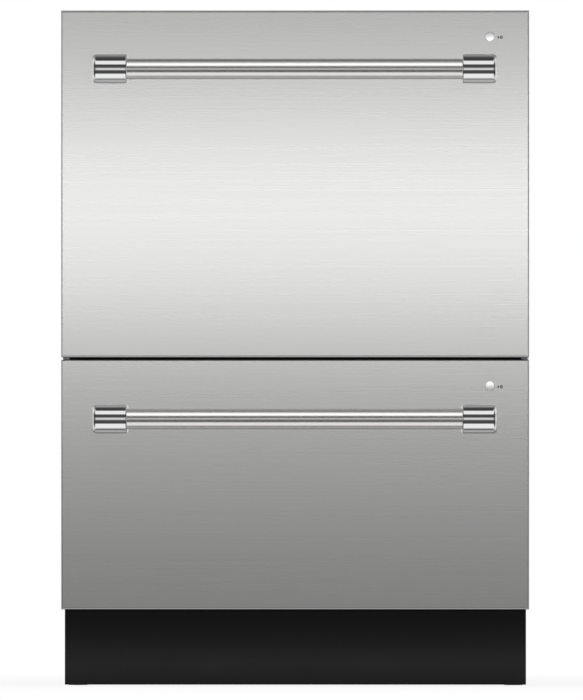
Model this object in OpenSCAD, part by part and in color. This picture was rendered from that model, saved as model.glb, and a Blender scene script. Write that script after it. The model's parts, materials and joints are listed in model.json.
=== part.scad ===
// Dishwasher with two wash drawers, one above the other, in one sheet steel chassis.
// The drawer fronts face -Y, up is +Z, and the origin is the middle of the footprint on the floor.

/* [Overall] */
// Width across the drawer fronts
unit_w = 599; // [580:1:640]
// Depth from the faces of the drawer fronts to the back of the chassis
body_d = 573; // [555:1:620]
// Height of the upper drawer front
upper_front_h = 444; // [420:1:500]
// Height of the lower drawer front
lower_front_h = 319.5; // [300:0.5:380]
// Gap between the two drawer fronts
front_gap = 3; // [2:0.5:6]
// Height of the lower front's bottom edge above the floor
toe_h = 97.5; // [90:0.5:130]
// Facets of a round shape
round_facets = 48; // [24:4:96]

/* [Drawer fronts] */
// Thickness of a drawer front
front_t = 22; // [19:0.5:28]
// Thickness of the stainless skin
skin_t = 0.9; // [0.6:0.1:1.5]
// Depth of the skin's folded sides
skin_fold = 18; // [10:0.5:18.5]
// Depth of the skin's folded top edge
top_fold = 5; // [3:0.5:8]
// Radius of the skin's front edges
edge_r = 2.5; // [1.6:0.1:4]
// Wall of the moulded carrier behind the skin
carrier_wall = 2.6; // [2:0.1:4]
// Length of the touch control strip in the top edge
strip_len = 556; // [300:1:560]
// Thickness of the touch control strip
strip_t = 3; // [2:0.5:5]

/* [Handle] */
// Overall length of a handle
handle_len = 516; // [380:1:560]
// Distance from the handle's axis up to the top edge of its front
handle_drop = 75.4; // [60:0.1:95]
// Distance from the front's face to the handle's axis
handle_axis = 46.5; // [40:0.5:60]
// Diameter of the bar
bar_d = 26; // [18:0.5:28]
// Diameter of the end sleeves
sleeve_d = 37; // [31:0.5:42]
// Length of an end sleeve
sleeve_len = 43.5; // [34:0.5:60]
// Corner radius of the cast post behind a sleeve
post_r = 4; // [2:0.5:8]
// How far a post shows past the inner end of its sleeve
post_lip = 2.3; // [0:0.1:4]
// Radius round the outer end of a sleeve
sleeve_r = 4.5; // [1:0.5:8]

/* [Start button] */
// Diameter of the button
button_d = 12; // [8:0.5:16]
// Distance from the button's centre to the side edge of the front
button_side = 50.3; // [35:0.1:70]
// Distance from the button's centre down from the top edge
button_drop = 33.5; // [24:0.5:45]
// Travel of the button
button_travel = 1.2; // [0.5:0.1:2]
// Diameter of the button's stem
button_stem_d = 6; // [4:0.5:8]

/* [Chassis] */
// Thickness of the chassis sheet
sheet_t = 1.2; // [0.8:0.1:2]
// How far a drawer front stands out past the chassis on each side
front_overhang = 2; // [1:0.5:4]
// Gap between a drawer front and the chassis
front_seal_gap = 3; // [2:0.5:6]
// Step from the chassis top up to the top edge of the upper front
top_step = 3; // [2:0.5:8]
// Height of the base pan above the floor
pan_lift = 28; // [24:1:36]
// Distance from the drawer faces back to the face of the kick panel
kick_recess = 30; // [28:1:45]
// Distance of the kick panel's ends in from the sides of the fronts
kick_side = 4.2; // [3.6:0.1:16]
// Gap under the kick panel
kick_lift = 1; // [1:0.5:8]
// Depth of the service recess under the back of the chassis
service_recess = 39; // [34:1:60]
// Diameter of a levelling foot's pad
foot_d = 28; // [22:1:32]
// Diameter of a levelling foot's screw
foot_screw_d = 10; // [8:1:12]
// Range of a levelling foot
foot_travel = 60; // [20:1:70]
// Diameter of the fixing screws' holes
fixing_hole_d = 5; // [3:0.5:6]

/* [Runners] */
// Height of the fixed rail's section
rail_h = 45; // [40:0.5:50]
// Thickness of the rails' steel
rail_t = 1.5; // [1.2:0.1:1.8]
// Thickness of the nested rails between chassis and tub
rail_w = 12.3; // [12:0.1:14]
// Length of the fixed rail
rail_len = 520; // [480:1:530]
// Full travel of a drawer
drawer_travel = 500; // [350:1:505]
// Distance from the tub's rim down to the runner
rail_drop = 146; // [120:1:160]

/* [Tub] */
// Space between the nested rails and the wall of the tub
ledge_w = 12; // [10:0.5:20]
// Wall of the moulded tub
tub_wall = 3; // [2:0.1:5]
// Radius of the tub's upright corners
tub_corner_r = 30; // [20:1:45]
// Depth of the space behind the tub for its hoses
hose_space = 58; // [48:1:70]
// Width of the rim around the mouth of the tub
rim_w = 8; // [6:0.5:9]
// Depth of the sump
sump_h = 22; // [18:1:26]
// Diameter of the sump
sump_d = 230; // [200:1:250]

/* [Lid] */
// Height of the lid
lid_h = 24; // [20:0.5:25]
// Distance the lid comes down to close the tub
lid_lift = 10; // [6:0.5:12]
// Height of the lid seal
seal_h = 5.7; // [4:0.1:8]
// Width of the lid seal
seal_w = 7.5; // [6:0.5:9]
// Diameter of the pins that carry the lid
lid_pin_d = 8; // [5:0.5:9]
// Travel of the sliding yokes that lower the lid
yoke_travel = 20; // [14:0.5:24]

/* [Rack] */
// Diameter of the rack's rails
rack_rail_d = 5.6; // [4.5:0.1:7]
// Diameter of the rack's wires
rack_wire_d = 3.8; // [3:0.1:4.4]
// Radius of the bend at the foot of a wire
rack_bend_r = 14; // [10:0.5:20]
// Space between the rack and the walls of the tub
rack_space = 12; // [9:0.5:18]
// Height of the rack above the floor of the tub
rack_lift = 44; // [42:0.5:55]
// Distance from the tub's rim down to the rack's upper rail
rack_drop = 42; // [30:1:60]
// Number of wires across the rack
wires_across = 11; // [7:2:15]
// Number of wires from front to back
wires_deep = 7; // [5:1:9]
// Height of the tines
tine_h = 62; // [40:1:66]
// Space between two tines
tine_pitch = 27; // [20:1:34]
// Width of the flip-up cup rack
cup_rack_w = 92; // [60:1:110]

/* [Wash system] */
// Length of the spray arm from tip to tip
spray_len = 452; // [380:1:456]
// Thickness of the spray arm
spray_t = 14; // [10:0.5:15]
// Diameter of the outlet that carries the spray arm
outlet_d = 40; // [30:1:50]
// Diameter of the filter plate
filter_d = 258; // [256:1:280]
// Number of slots in the filter plate
filter_slots = 36; // [16:4:48]
// Diameter of the wash motor
motor_d = 150; // [110:1:180]
// Height of the wash motor
motor_h = 20; // [14:1:22]
// Diameter of the pump's impeller
impeller_d = 84; // [60:1:120]

/* [Fittings] */
// Width of the detergent dispenser
dispenser_w = 150; // [120:1:180]
// Height of the detergent dispenser
dispenser_h = 74; // [66:1:80]
// Width of the cutlery basket
basket_w = 150; // [100:1:160]
// Depth of the cutlery basket
basket_l = 84; // [60:1:90]
// Height of the cutlery basket
basket_h = 118; // [90:1:126]
// Outside diameter of the water inlet's thread
inlet_d = 26.4; // [20:0.1:28]
// Outside diameter of the drain spigots
drain_d = 20; // [16:0.5:24]
// Length of the water inlet's thread
inlet_len = 14; // [10:1:20]
// Length of the drain spigots
drain_len = 26; // [18:1:30]
// Bore of the cable gland
gland_bore = 9; // [6:0.5:12]

/* [Hidden] */
$fn = round_facets;
// Clearances
touch = 0.05;
seat = 0.3;
run = 0.1;
slip = 0.2;

// Overall positions
handle_reach = handle_axis + sleeve_d / 2;
unit_h = toe_h + lower_front_h + front_gap + upper_front_h;
face_y = (handle_reach - body_d) / 2;
back_y = face_y + body_d;
front_back_y = face_y + front_t;
chassis_y = front_back_y + front_seal_gap;
chassis_hw = unit_w / 2 - front_overhang;
wall_x = chassis_hw - sheet_t;
chassis_top = unit_h - top_step;
chassis_bottom = toe_h + 2.5;
gap_z = toe_h + lower_front_h;
kick_w = unit_w - 2 * kick_side;

// Middle rail behind the gap between the fronts
mid_rail_h = front_gap + 16;
mid_rail_z = gap_z - 12;
mid_rail_d = 30;

// Base pan
pan_hw = chassis_hw - 5.5;
pan_y0 = face_y + kick_recess + 24;
pan_y1 = back_y - service_recess;
foot_x = pan_hw - sheet_t - foot_screw_d / 2 - 6.8;
foot_front_y = pan_y0 + foot_d / 2 + 4;
foot_back_y = pan_y1 - foot_d / 2 - 10;
pad_h = 12;
foot_stem = pan_lift + foot_travel + 14;

// Drawers: 0 is the lower one and 1 is the upper one
function front_z(d) = d == 0 ? toe_h : gap_z + front_gap;
function front_h(d) = d == 0 ? lower_front_h : upper_front_h;
function front_top(d) = front_z(d) + front_h(d);
function handle_z(d) = front_top(d) - handle_drop;
function button_z(d) = front_top(d) - button_drop;
function lid_top(d) = d == 0 ? mid_rail_z - 2 : chassis_top - sheet_t - 9.8;
function lid_z(d) = lid_top(d) - lid_h;
function rim_z(d) = lid_z(d) - seal_h - lid_lift - seat;
function floor_z(d) = (d == 0 ? toe_h + 7 : mid_rail_z + mid_rail_h + 4) + motor_h + sump_h;
function floor_in(d) = floor_z(d) + tub_wall;
function runner_z(d) = rim_z(d) - rail_drop;

// Tub
rail_x = wall_x - rail_w;
tub_hw = rail_x - ledge_w;
tub_y0 = front_back_y + rim_w;
tub_y1 = back_y - sheet_t - hose_space;
tub_mid_y = (tub_y0 + tub_y1) / 2;
in_hw = tub_hw - tub_wall;
in_y0 = tub_y0 + tub_wall;
in_y1 = tub_y1 - tub_wall;
spindle_d = 8;

// Lid and its yokes
lid_hw = tub_hw + rim_w + 1;
lid_y0 = chassis_y + 0.5;
lid_y1 = tub_y1 + rim_w - 1;
yoke_x = lid_hw + 1.5;
yoke_t = 4;
yoke_y0 = lid_y0 + 22;
yoke_len = 350;
pin_y = [lid_y0 + 70, lid_y0 + 300];
slot_d = lid_pin_d + 2 * slip;
guide_x = yoke_x + yoke_t + seat;
guide_t = 2;
yoke_up = slot_d / 2 + 5;
yoke_down = lid_lift + slot_d / 2 + 4;
actuator_y0 = yoke_y0 + yoke_len + yoke_travel + 4;
actuator_len = 2 * yoke_travel + 44;
function pin_z(d) = lid_z(d) + lid_h / 2;

// Rack
rack_hw = in_hw - rack_space;
rack_y0 = in_y0 + rack_space;
rack_y1 = in_y1 - rack_space;
rail_r = rack_rail_d / 2;
wire_r = rack_wire_d / 2;
weld = 0.5;
wire_inset = rack_bend_r + 10;
cross_pitch = 2 * (rack_hw - wire_inset) / (wires_across - 1);
deep_pitch = (rack_y1 - rack_y0 - 2 * wire_inset) / (wires_deep - 1);
function rack_z(d) = floor_in(d) + rack_lift;
function rack_top(d) = rim_z(d) - rack_drop;
function rack_front_top(d) = dispenser_z(d) - 10;
under_wire = 2 * wire_r - weld;
tine_r = 1.6;
tine_rod_r = 2;
tine_x0 = -18;
tine_count = floor((rack_hw - 22 - tine_x0) / tine_pitch) + 1;
fold_y = rack_y0 + 300;
fixed_rows = [fold_y - 2 * tine_h - 16, fold_y - tine_h - 8, fold_y + tine_h + 8];
function tine_rod_z(d) = rack_z(d) + wire_r + tine_rod_r + touch;
rail_in = wire_r + rail_r - weld;
cup_r = 2;
cup_x = -rack_hw + rail_in + rail_r + cup_r + 0.8;
function cup_z(d) = rack_top(d) - cup_rack_w + 22;

// Dispenser
function dispenser_z(d) = rim_z(d) - dispenser_h - 34;

// Cutlery basket
basket_x0 = rack_hw - basket_w - 15;
basket_y0 = rack_y0 + 9;

// Points of an arc about a centre
function arc(c, r, a0, a1, n = 6) =
    [for (i = [0:n]) c + r * [cos(a0 + (a1 - a0) * i / n), sin(a0 + (a1 - a0) * i / n)]];

// Outline of a rectangle with four round corners
function round_rect(x0, y0, x1, y1, r) = concat(
    arc([x1 - r, y1 - r], r, 0, 90),
    arc([x0 + r, y1 - r], r, 90, 180),
    arc([x0 + r, y0 + r], r, 180, 270),
    arc([x1 - r, y0 + r], r, 270, 360)
);

// Outline of a slot from one centre to another
function slot_line(a, b, r) =
    let (t = atan2(b[1] - a[1], b[0] - a[0]))
    concat(arc(b, r, t - 90, t + 90, 12), arc(a, r, t + 90, t + 270, 12));

// Box between two corners
module box(a, b) {
    translate(a) cube(b - a);
}

// Upright rod
module rod_z(p, r, len) {
    translate(p) cylinder(r = r, h = len);
}

// Rod along +X
module rod_x(p, r, len) {
    translate(p) rotate([0, 90, 0]) cylinder(r = r, h = len);
}

// Rod along +Y
module rod_y(p, r, len) {
    translate(p) rotate([-90, 0, 0]) cylinder(r = r, h = len);
}

// Outline in X and Z drawn along Y from y0 to y1
module along_y(y0, y1) {
    translate([0, y1, 0]) rotate([90, 0, 0]) linear_extrude(y1 - y0) children();
}

// Outline in Y and Z drawn along X from x0 to x1
module along_x(x0, x1) {
    translate([x0, 0, 0]) rotate([90, 0, 90]) linear_extrude(x1 - x0) children();
}

// The same piece on the left and on the right
module both_sides() {
    children();
    mirror([1, 0, 0]) children();
}

// Ring with round corners, w wide, between two heights
module ring(x0, y0, x1, y1, r, w, z0, z1) {
    difference() {
        translate([0, 0, z0]) linear_extrude(z1 - z0) polygon(round_rect(x0, y0, x1, y1, r));
        translate([0, 0, z0 - 1]) linear_extrude(z1 - z0 + 2)
            polygon(round_rect(x0 + w, y0 + w, x1 - w, y1 - w, max(r - w, 0.5)));
    }
}

// Quarter bend of a wire about the origin, from +X round to +Y
module elbow(bend_r, r) {
    rotate_extrude(angle = 90) translate([bend_r, 0]) circle(r);
}

// ---------------------------------------------------------------- chassis

steel = [0.62, 0.64, 0.66];
black = [0.06, 0.06, 0.06];

// Side sheet with its folded flanges, notches for the runners and pressed windows
module chassis_side() {
    difference() {
        union() {
            box([wall_x, chassis_y, chassis_bottom], [chassis_hw, back_y, chassis_top]);
            box([chassis_hw - 8, chassis_y, chassis_bottom],
                [chassis_hw - 0.5, chassis_y + sheet_t, chassis_top]);
            box([chassis_hw - 16, back_y - sheet_t, chassis_bottom],
                [chassis_hw - 0.5, back_y, chassis_top]);
            box([pan_hw - 3, pan_y0, chassis_bottom],
                [chassis_hw - 0.5, pan_y1, chassis_bottom + sheet_t]);
        }
        for (d = [0, 1])
            box([wall_x - 20, chassis_y - 1, runner_z(d) - rail_h / 2 - 2],
                [wall_x, chassis_y + 5, runner_z(d) + rail_h / 2 + 2]);
        for (d = [0, 1], y = [chassis_y + 90, back_y - 150])
            along_x(wall_x - 1, chassis_hw + 1)
                polygon(round_rect(y, runner_z(d) + rail_h / 2 + 14,
                                   y + 70, runner_z(d) + rail_h / 2 + 50, 12));
    }
}

module chassis_sides() {
    color(steel) both_sides() chassis_side();
}

panel_hw = wall_x - touch;
fixing_x = panel_hw - 60;
fixing_y = [chassis_y + 14, chassis_y + 38];
top_lip = 9;

// Roof sheet with four folded edges and the access holes of the fixing screws
module top_panel() {
    y0 = chassis_y + sheet_t + touch;
    y1 = back_y - sheet_t;
    color(steel) difference() {
        box([-panel_hw, y0, chassis_top - top_lip], [panel_hw, y1, chassis_top]);
        box([-panel_hw + sheet_t, y0 + sheet_t, chassis_top - top_lip - 1],
            [panel_hw - sheet_t, y1 - sheet_t, chassis_top - sheet_t]);
        for (x = [-fixing_x, fixing_x], y = fixing_y)
            rod_z([x, y, chassis_top - 5], fixing_hole_d / 2 + 1.5, 10);
    }
}

// Back sheet with two round-cornered openings behind each drawer and a folded foot
module rear_panel() {
    y1 = back_y - sheet_t;
    color(steel) difference() {
        union() {
            box([-panel_hw, y1 - sheet_t, chassis_bottom], [panel_hw, y1, chassis_top - top_lip - touch]);
            box([-pan_hw + 4, pan_y1 + touch, chassis_bottom],
                [pan_hw - 4, y1 - 0.5, chassis_bottom + sheet_t]);
        }
        for (d = [0, 1], i = [-3:2:3])
            along_y(y1 - 3, y1 + 1)
                polygon(round_rect(i * panel_hw / 4.2 - 38, floor_in(d) + 60,
                                   i * panel_hw / 4.2 + 38, floor_in(d) + 120 + d * 20, 14));
        for (x = concat([inlet_x, gland_x], drain_x))
            rod_z([x, pan_y1 + 17, chassis_bottom - 1], 12, 4);
    }
}

inlet_x = 92 - pan_hw;
drain_x = [pan_hw - 142, pan_hw - 100];
gland_x = pan_hw - 48;
fitting_z = (pan_lift + chassis_bottom) / 2;
swage_y = [for (i = [1:3]) pan_y0 + i * (pan_y1 - pan_y0) / 4 - 12];

// Deep drip tray under the drawers with the threaded bosses of the levelling feet
module base_pan() {
    color(steel) difference() {
        union() {
            difference() {
                box([-pan_hw, pan_y0, pan_lift], [pan_hw, pan_y1, chassis_bottom]);
                box([-pan_hw + sheet_t, pan_y0 + sheet_t, pan_lift + sheet_t],
                    [pan_hw - sheet_t, pan_y1 - sheet_t, chassis_bottom + 1]);
            }
            both_sides()
                box([pan_hw - 0.5, pan_y0, chassis_bottom - sheet_t],
                    [chassis_hw - 2.2, pan_y1, chassis_bottom]);
            for (x = [-foot_x, foot_x], y = [foot_front_y, foot_back_y])
                rod_z([x, y, pad_h + seat], foot_screw_d / 2 + 5.5, pan_lift - pad_h + 9);
            for (y = swage_y)
                box([-pan_hw + 40, y, pan_lift + 0.5], [pan_hw - 40, y + 24, pan_lift + 6]);
        }
        for (y = swage_y)
            box([-pan_hw + 42, y + 2, pan_lift - 1], [pan_hw - 42, y + 22, pan_lift + 6 - sheet_t]);
        for (x = [-foot_x, foot_x], y = [foot_front_y, foot_back_y])
            rod_z([x, y, 0], foot_screw_d / 2 + run, pan_lift + 40);
        rod_y([inlet_x, pan_y1 - 5, fitting_z], inlet_d / 2 + 0.8, 10);
        for (x = drain_x)
            rod_y([x, pan_y1 - 5, fitting_z], drain_d / 2 + 0.8, 10);
        rod_y([gland_x, pan_y1 - 5, fitting_z], gland_bore / 2 + 4.2, 10);
    }
}

// Cross member behind the gap between the two fronts
module middle_rail() {
    y0 = chassis_y + sheet_t + touch;
    z1 = mid_rail_z + mid_rail_h;
    color(black) difference() {
        box([-panel_hw, y0, mid_rail_z], [panel_hw, chassis_y + mid_rail_d, z1]);
        box([-panel_hw - 1, y0 + sheet_t, mid_rail_z + sheet_t],
            [panel_hw + 1, chassis_y + mid_rail_d + 1, z1 - sheet_t]);
        for (i = [-3:3])
            rod_z([i * panel_hw / 3.7, chassis_y + mid_rail_d / 2 + 2, mid_rail_z - 1], 5, mid_rail_h + 2);
    }
}

// Black kick panel, open at the back, with two legs that reach the base pan
kick_leg_x = kick_w / 2 - 115;
module kick_panel() {
    y = face_y + kick_recess;
    color(black) difference() {
        union() {
            box([-kick_w / 2, y, kick_lift], [kick_w / 2, y + 20, toe_h + 5]);
            for (x = [-kick_leg_x, kick_leg_x])
                box([x - 14, y + 1, toe_h / 2], [x + 14, pan_y0 - touch, toe_h / 2 + 24]);
        }
        box([-kick_w / 2 + sheet_t, y + sheet_t, kick_lift + sheet_t],
            [kick_w / 2 - sheet_t, y + 16, toe_h + 5 - sheet_t]);
        for (x = [[-kick_w / 2 + 12, -kick_leg_x - 15], [-kick_leg_x + 15, kick_leg_x - 15],
                  [kick_leg_x + 15, kick_w / 2 - 12]])
            box([x[0], y + 15, kick_lift + 12], [x[1], y + 21, toe_h - 7]);
    }
}

// Two straps on the roof that take the screws into the worktop
module fixing_brackets() {
    color([0.75, 0.76, 0.78]) both_sides() difference() {
        translate([0, 0, chassis_top]) linear_extrude(1.5)
            polygon(round_rect(fixing_x - 14, chassis_y + 2, fixing_x + 14, chassis_y + 78, 5));
        for (y = fixing_y)
            rod_z([fixing_x, y, chassis_top - 1], fixing_hole_d / 2, 5);
    }
}

// Water inlet valve inside the base pan, with its threaded spigot through the back wall
module inlet_valve() {
    y = pan_y1 - sheet_t - touch;
    color([0.86, 0.87, 0.88]) difference() {
        union() {
            box([inlet_x - 24, y - 42, fitting_z - 20], [inlet_x + 24, y, fitting_z + 20]);
            rod_z([inlet_x, y - 22, fitting_z + 19], 13, 10);
            rod_y([inlet_x, y - 1, fitting_z], inlet_d / 2, inlet_len + 4 + sheet_t + 1 + 2 * touch);
            rod_y([inlet_x, pan_y1 + touch, fitting_z], inlet_d / 2 + 4, 4);
        }
        rod_y([inlet_x, y - 12, fitting_z], inlet_d / 2 - 4.4, 50);
        for (x = [-18, 18])
            rod_y([inlet_x + x, y - 50, fitting_z - 14], 2, 60);
    }
}

// Two drain spigots on one plate behind the back wall of the base pan
module drain_spigots() {
    y = pan_y1 - sheet_t - touch;
    color([0.2, 0.2, 0.21]) difference() {
        union() {
            box([drain_x[0] - 18, y - 3, fitting_z - 17], [drain_x[1] + 18, y, fitting_z + 17]);
            for (x = drain_x) {
                rod_y([x, y - 26, fitting_z], drain_d / 2, 26 + sheet_t + 2 * touch + 2 + drain_len);
                rod_y([x, pan_y1 + touch, fitting_z], drain_d / 2 + 3, 2);
            }
        }
        for (x = drain_x)
            rod_y([x, y - 27, fitting_z], drain_d / 2 - 2.4, 60 + drain_len);
    }
}

// Cable gland with a nut on each side of the wall
module cable_gland() {
    y = pan_y1 - sheet_t;
    r = gland_bore / 2 + 4;
    color([0.2, 0.2, 0.21]) difference() {
        union() {
            rod_y([gland_x, y - 9, fitting_z], r, 24);
            translate([gland_x, pan_y1 + touch, fitting_z]) rotate([-90, 0, 0])
                cylinder(r = r + 4, h = 7, $fn = 6);
            translate([gland_x, y - touch - 5, fitting_z]) rotate([-90, 0, 0])
                cylinder(r = r + 4, h = 5, $fn = 6);
        }
        rod_y([gland_x, y - 10, fitting_z], gland_bore / 2, 30);
    }
}

// Levelling foot with its hexagon and screw
module foot(x, y) {
    color([0.12, 0.12, 0.13]) translate([x, y, 0]) {
        rotate_extrude()
            polygon([[0, 0], [foot_d / 2 - 2, 0], [foot_d / 2, 1.5], [foot_d / 2, 4], [foot_d / 2 - 3, 7],
                     [foot_screw_d / 2, 7], [foot_screw_d / 2, foot_stem - 1],
                     [foot_screw_d / 2 - 1, foot_stem], [0, foot_stem]]);
        translate([0, 0, 6]) cylinder(r = foot_screw_d / 2 + 3, h = pad_h - 6, $fn = 6);
    }
}

// ---------------------------------------------------------------- runners

// One member's section, drawn from the chassis wall inwards: mirrored above and below its middle
module rail_section(points) {
    polygon(concat(points, [for (i = [len(points) - 1:-1:0]) [points[i][0], -points[i][1]]]));
}

rail_top = rail_h / 2;
rail_mouth = 11;
mid_top = rail_top - rail_t - 1.5;
mid_mouth = rail_mouth - rail_t - seat;
mid_back = rail_t + 2;
inner_top = mid_top - 5 - 0.4;

// Places sections of one drawer's right and left runner
module rails(d, y0, y1) {
    both_sides()
        along_y(y0, y1)
            translate([wall_x, runner_z(d)]) mirror([1, 0]) children();
}

mid_y1 = chassis_y + rail_len - 1;
stop_y = mid_y1 - 3 - drawer_travel / 2 - seat;

// Fixed rails, each with the tab that stops the middle rail at the end of the drawer's travel
module fixed_rails() {
    y0 = chassis_y + 7;
    color([0.7, 0.71, 0.72])
        for (d = [0, 1]) {
            rails(d, y0, y0 + rail_len)
                rail_section([[0, rail_top], [rail_mouth, rail_top], [rail_mouth, rail_top - 5.5],
                              [rail_mouth - rail_t, rail_top - 5.5], [rail_mouth - rail_t, rail_top - rail_t],
                              [rail_t, rail_top - rail_t]]);
            rails(d, stop_y - 3, stop_y)
                rail_section([[rail_t - 0.5, 6], [rail_t + 1.2, 6]]);
        }
}

module runner_middle(d) {
    color([0.72, 0.73, 0.74]) {
        rails(d, chassis_y + 11, mid_y1)
            rail_section([[mid_back, mid_top], [mid_mouth, mid_top], [mid_mouth, mid_top - 5],
                          [mid_mouth - rail_t, mid_top - 5], [mid_mouth - rail_t, mid_top - rail_t],
                          [mid_back + rail_t, mid_top - rail_t]]);
        rails(d, mid_y1 - 3, mid_y1)
            rail_section([[mid_back - 1.2, 6], [mid_back + 0.5, 6]]);
    }
}

module runner_inner(d) {
    color([0.74, 0.75, 0.76])
        rails(d, tub_y0 + 2, tub_y1 - 8)
            rail_section([[mid_back + rail_t + seat, inner_top], [rail_w, inner_top]]);
}

// ---------------------------------------------------------------- drawer front

// Block of a front with round front edges, drawn in by inset and ending at y1
module front_block(d, inset, y1) {
    r = max(edge_r - inset, 0.3);
    w = unit_w / 2 - inset;
    y0 = face_y + inset;
    z0 = front_z(d) + inset;
    z1 = front_top(d) - inset;
    intersection() {
        translate([0, 0, z0]) linear_extrude(z1 - z0)
            polygon(concat(arc([w - r, y0 + r], r, 270, 360), [[w, y1], [-w, y1]],
                           arc([-w + r, y0 + r], r, 180, 270)));
        along_x(-w, w)
            polygon(concat(arc([y0 + r, z1 - r], r, 90, 180), arc([y0 + r, z0 + r], r, 180, 270),
                           [[y1, z0], [y1, z1]]));
    }
}

post_x = handle_len / 2 - sleeve_len / 2;
button_x = unit_w / 2 - button_side;
flange_y = skin_t + seat;
flange_t = 1.2;
stem_end = 15;

// Folded stainless skin with the holes of the button and the handle's screws
module front_skin(d) {
    color([0.83, 0.83, 0.83]) difference() {
        front_block(d, 0, face_y + skin_fold);
        front_block(d, skin_t, face_y + skin_fold + 1);
        box([-strip_len / 2 - touch, face_y + top_fold, front_top(d) - skin_t - 1],
            [strip_len / 2 + touch, face_y + skin_fold + 1, front_top(d) + 1]);
        rod_y([button_x, face_y - 1, button_z(d)], button_d / 2 + slip, 4);
        for (x = [-post_x, post_x])
            rod_y([x, face_y - 1, handle_z(d)], 2.6, 4);
    }
}

// Moulded carrier behind the skin: a ribbed tray with bosses for the handle and the button
module front_carrier(d) {
    y0 = face_y + skin_t + touch;
    y1 = front_back_y;
    z0 = front_z(d) + 8;
    z1 = front_top(d) - strip_t - 6;
    x1 = unit_w / 2 - 8;
    rows = d + 2;
    cell_w = 2 * x1 / 4;
    cell_h = (z1 - z0) / rows;
    color([0.14, 0.14, 0.15]) difference() {
        front_block(d, skin_t + touch, y1);
        difference() {
            for (i = [0:3], j = [0:rows - 1])
                box([-x1 + i * cell_w + 1.5, y0 - 1, z0 + j * cell_h + 1.5],
                    [-x1 + (i + 1) * cell_w - 1.5, y1 - carrier_wall, z0 + (j + 1) * cell_h - 1.5]);
            for (x = [-post_x, post_x])
                rod_y([x, y0 - 2, handle_z(d)], 11, front_t);
            rod_y([button_x, y0 - 2, button_z(d)], button_d / 2 + 5, front_t);
        }
        for (x = [-post_x, post_x]) {
            rod_y([x, y0 - 2, handle_z(d)], 2.6, front_t + 4);
            rod_y([x, y1 - 8, handle_z(d)], 5.5, 10);
        }
        rod_y([button_x, y0 - 2, button_z(d)], button_d / 2 + 2.4, 2 + flange_t + seat + button_travel + 1);
        rod_y([button_x, y0 - 2, button_z(d)], button_stem_d / 2 + run, stem_end + button_travel + 2);
        box([-strip_len / 2 - touch, face_y + top_fold, front_top(d) - strip_t - touch],
            [strip_len / 2 + touch, y1 + 1, front_top(d) + 1]);
    }
}

// Touch strip in the top edge, with five shallow key fields
module control_strip(d) {
    z1 = front_top(d);
    color([0.04, 0.04, 0.045]) difference() {
        box([-strip_len / 2, face_y + top_fold + touch, z1 - strip_t], [strip_len / 2, front_back_y, z1]);
        for (i = [0:4])
            translate([0, 0, z1 - 0.3]) linear_extrude(1)
                polygon(round_rect(strip_len / 2 - 60 - i * 34, face_y + top_fold + 5,
                                   strip_len / 2 - 38 - i * 34, front_back_y - 5, 3));
    }
}

// Start button, slightly crowned, on its guided stem
module start_button(d) {
    r = button_d / 2;
    color([0.9, 0.9, 0.9])
        translate([button_x, face_y, button_z(d)]) rotate([-90, 0, 0])
            rotate_extrude()
                polygon(concat([for (i = [0:3]) [(r - 0.6) * i / 4, -1.5 + 0.2 * pow(i / 4, 2)]],
                    arc([r - 0.6, -0.7], 0.6, 270, 360),
                    [[r, flange_y], [r + 1.6, flange_y], [r + 1.6, flange_y + flange_t],
                     [button_stem_d / 2, flange_y + flange_t], [button_stem_d / 2, stem_end - 0.8],
                     [button_stem_d / 2 - 0.8, stem_end], [0, stem_end]]));
}

module handle_bar(d) {
    half = handle_len / 2 - sleeve_len + 24;
    color([0.8, 0.79, 0.78])
        rod_x([-half, face_y - handle_axis, handle_z(d)], bar_d / 2, 2 * half);
}

// End sleeve, rounded outside, on the cast post that stands off the front on a narrower foot
module handle_end(d) {
    r = sleeve_d / 2;
    l = sleeve_len;
    x0 = handle_len / 2 - l - post_lip;
    x1 = handle_len / 2 - sleeve_r - 1.5;
    h = r - 0.2;
    difference() {
        union() {
            translate([handle_len / 2, face_y - handle_axis, handle_z(d)]) rotate([0, -90, 0])
                rotate_extrude()
                    polygon(concat([[0, 0]], arc([r - sleeve_r, sleeve_r], sleeve_r, 270, 360, 8),
                        arc([r - 1.8, l - 1.8], 1.8, 0, 90), [[0, l]]));
            along_y(face_y - handle_axis, face_y - 12)
                polygon(round_rect(x0, handle_z(d) - h, x1, handle_z(d) + h, post_r));
            along_y(face_y - 12, face_y)
                polygon(round_rect(x0 + 3, handle_z(d) - h + 3, x1 - 3, handle_z(d) + h - 3, post_r));
        }
        rod_x([x0 - 1, face_y - handle_axis, handle_z(d)], bar_d / 2 + touch, l + post_lip - 6);
        rod_y([post_x, face_y - 16, handle_z(d)], 2.6, 20);
    }
}

module handle_ends(d) {
    color([0.86, 0.86, 0.87]) both_sides() handle_end(d);
}

// ---------------------------------------------------------------- tub

// Right ledge that hangs the tub on its runner, with gussets below it
module tub_ledge(d) {
    z = runner_z(d);
    along_y(tub_y0 + 2, tub_y1 - 8)
        polygon([[tub_hw - 0.5, z + 12], [rail_x, z + 12], [rail_x, z - 12], [rail_x - 3, z - 12],
                 [rail_x - 3, z + 9], [tub_hw - 0.5, z + 9]]);
    for (y = [tub_y0 + 30:60:tub_y1 - 20])
        box([tub_hw - 0.5, y, z - 10], [rail_x - 2.5, y + 3, z + 9.5]);
}

pedestal_x = rack_hw - rack_bend_r - 24;
pedestal_y = [rack_y0 + wire_inset, rack_y1 - wire_inset];
function rack_under(d) = rack_z(d) - under_wire - wire_r;

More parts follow.
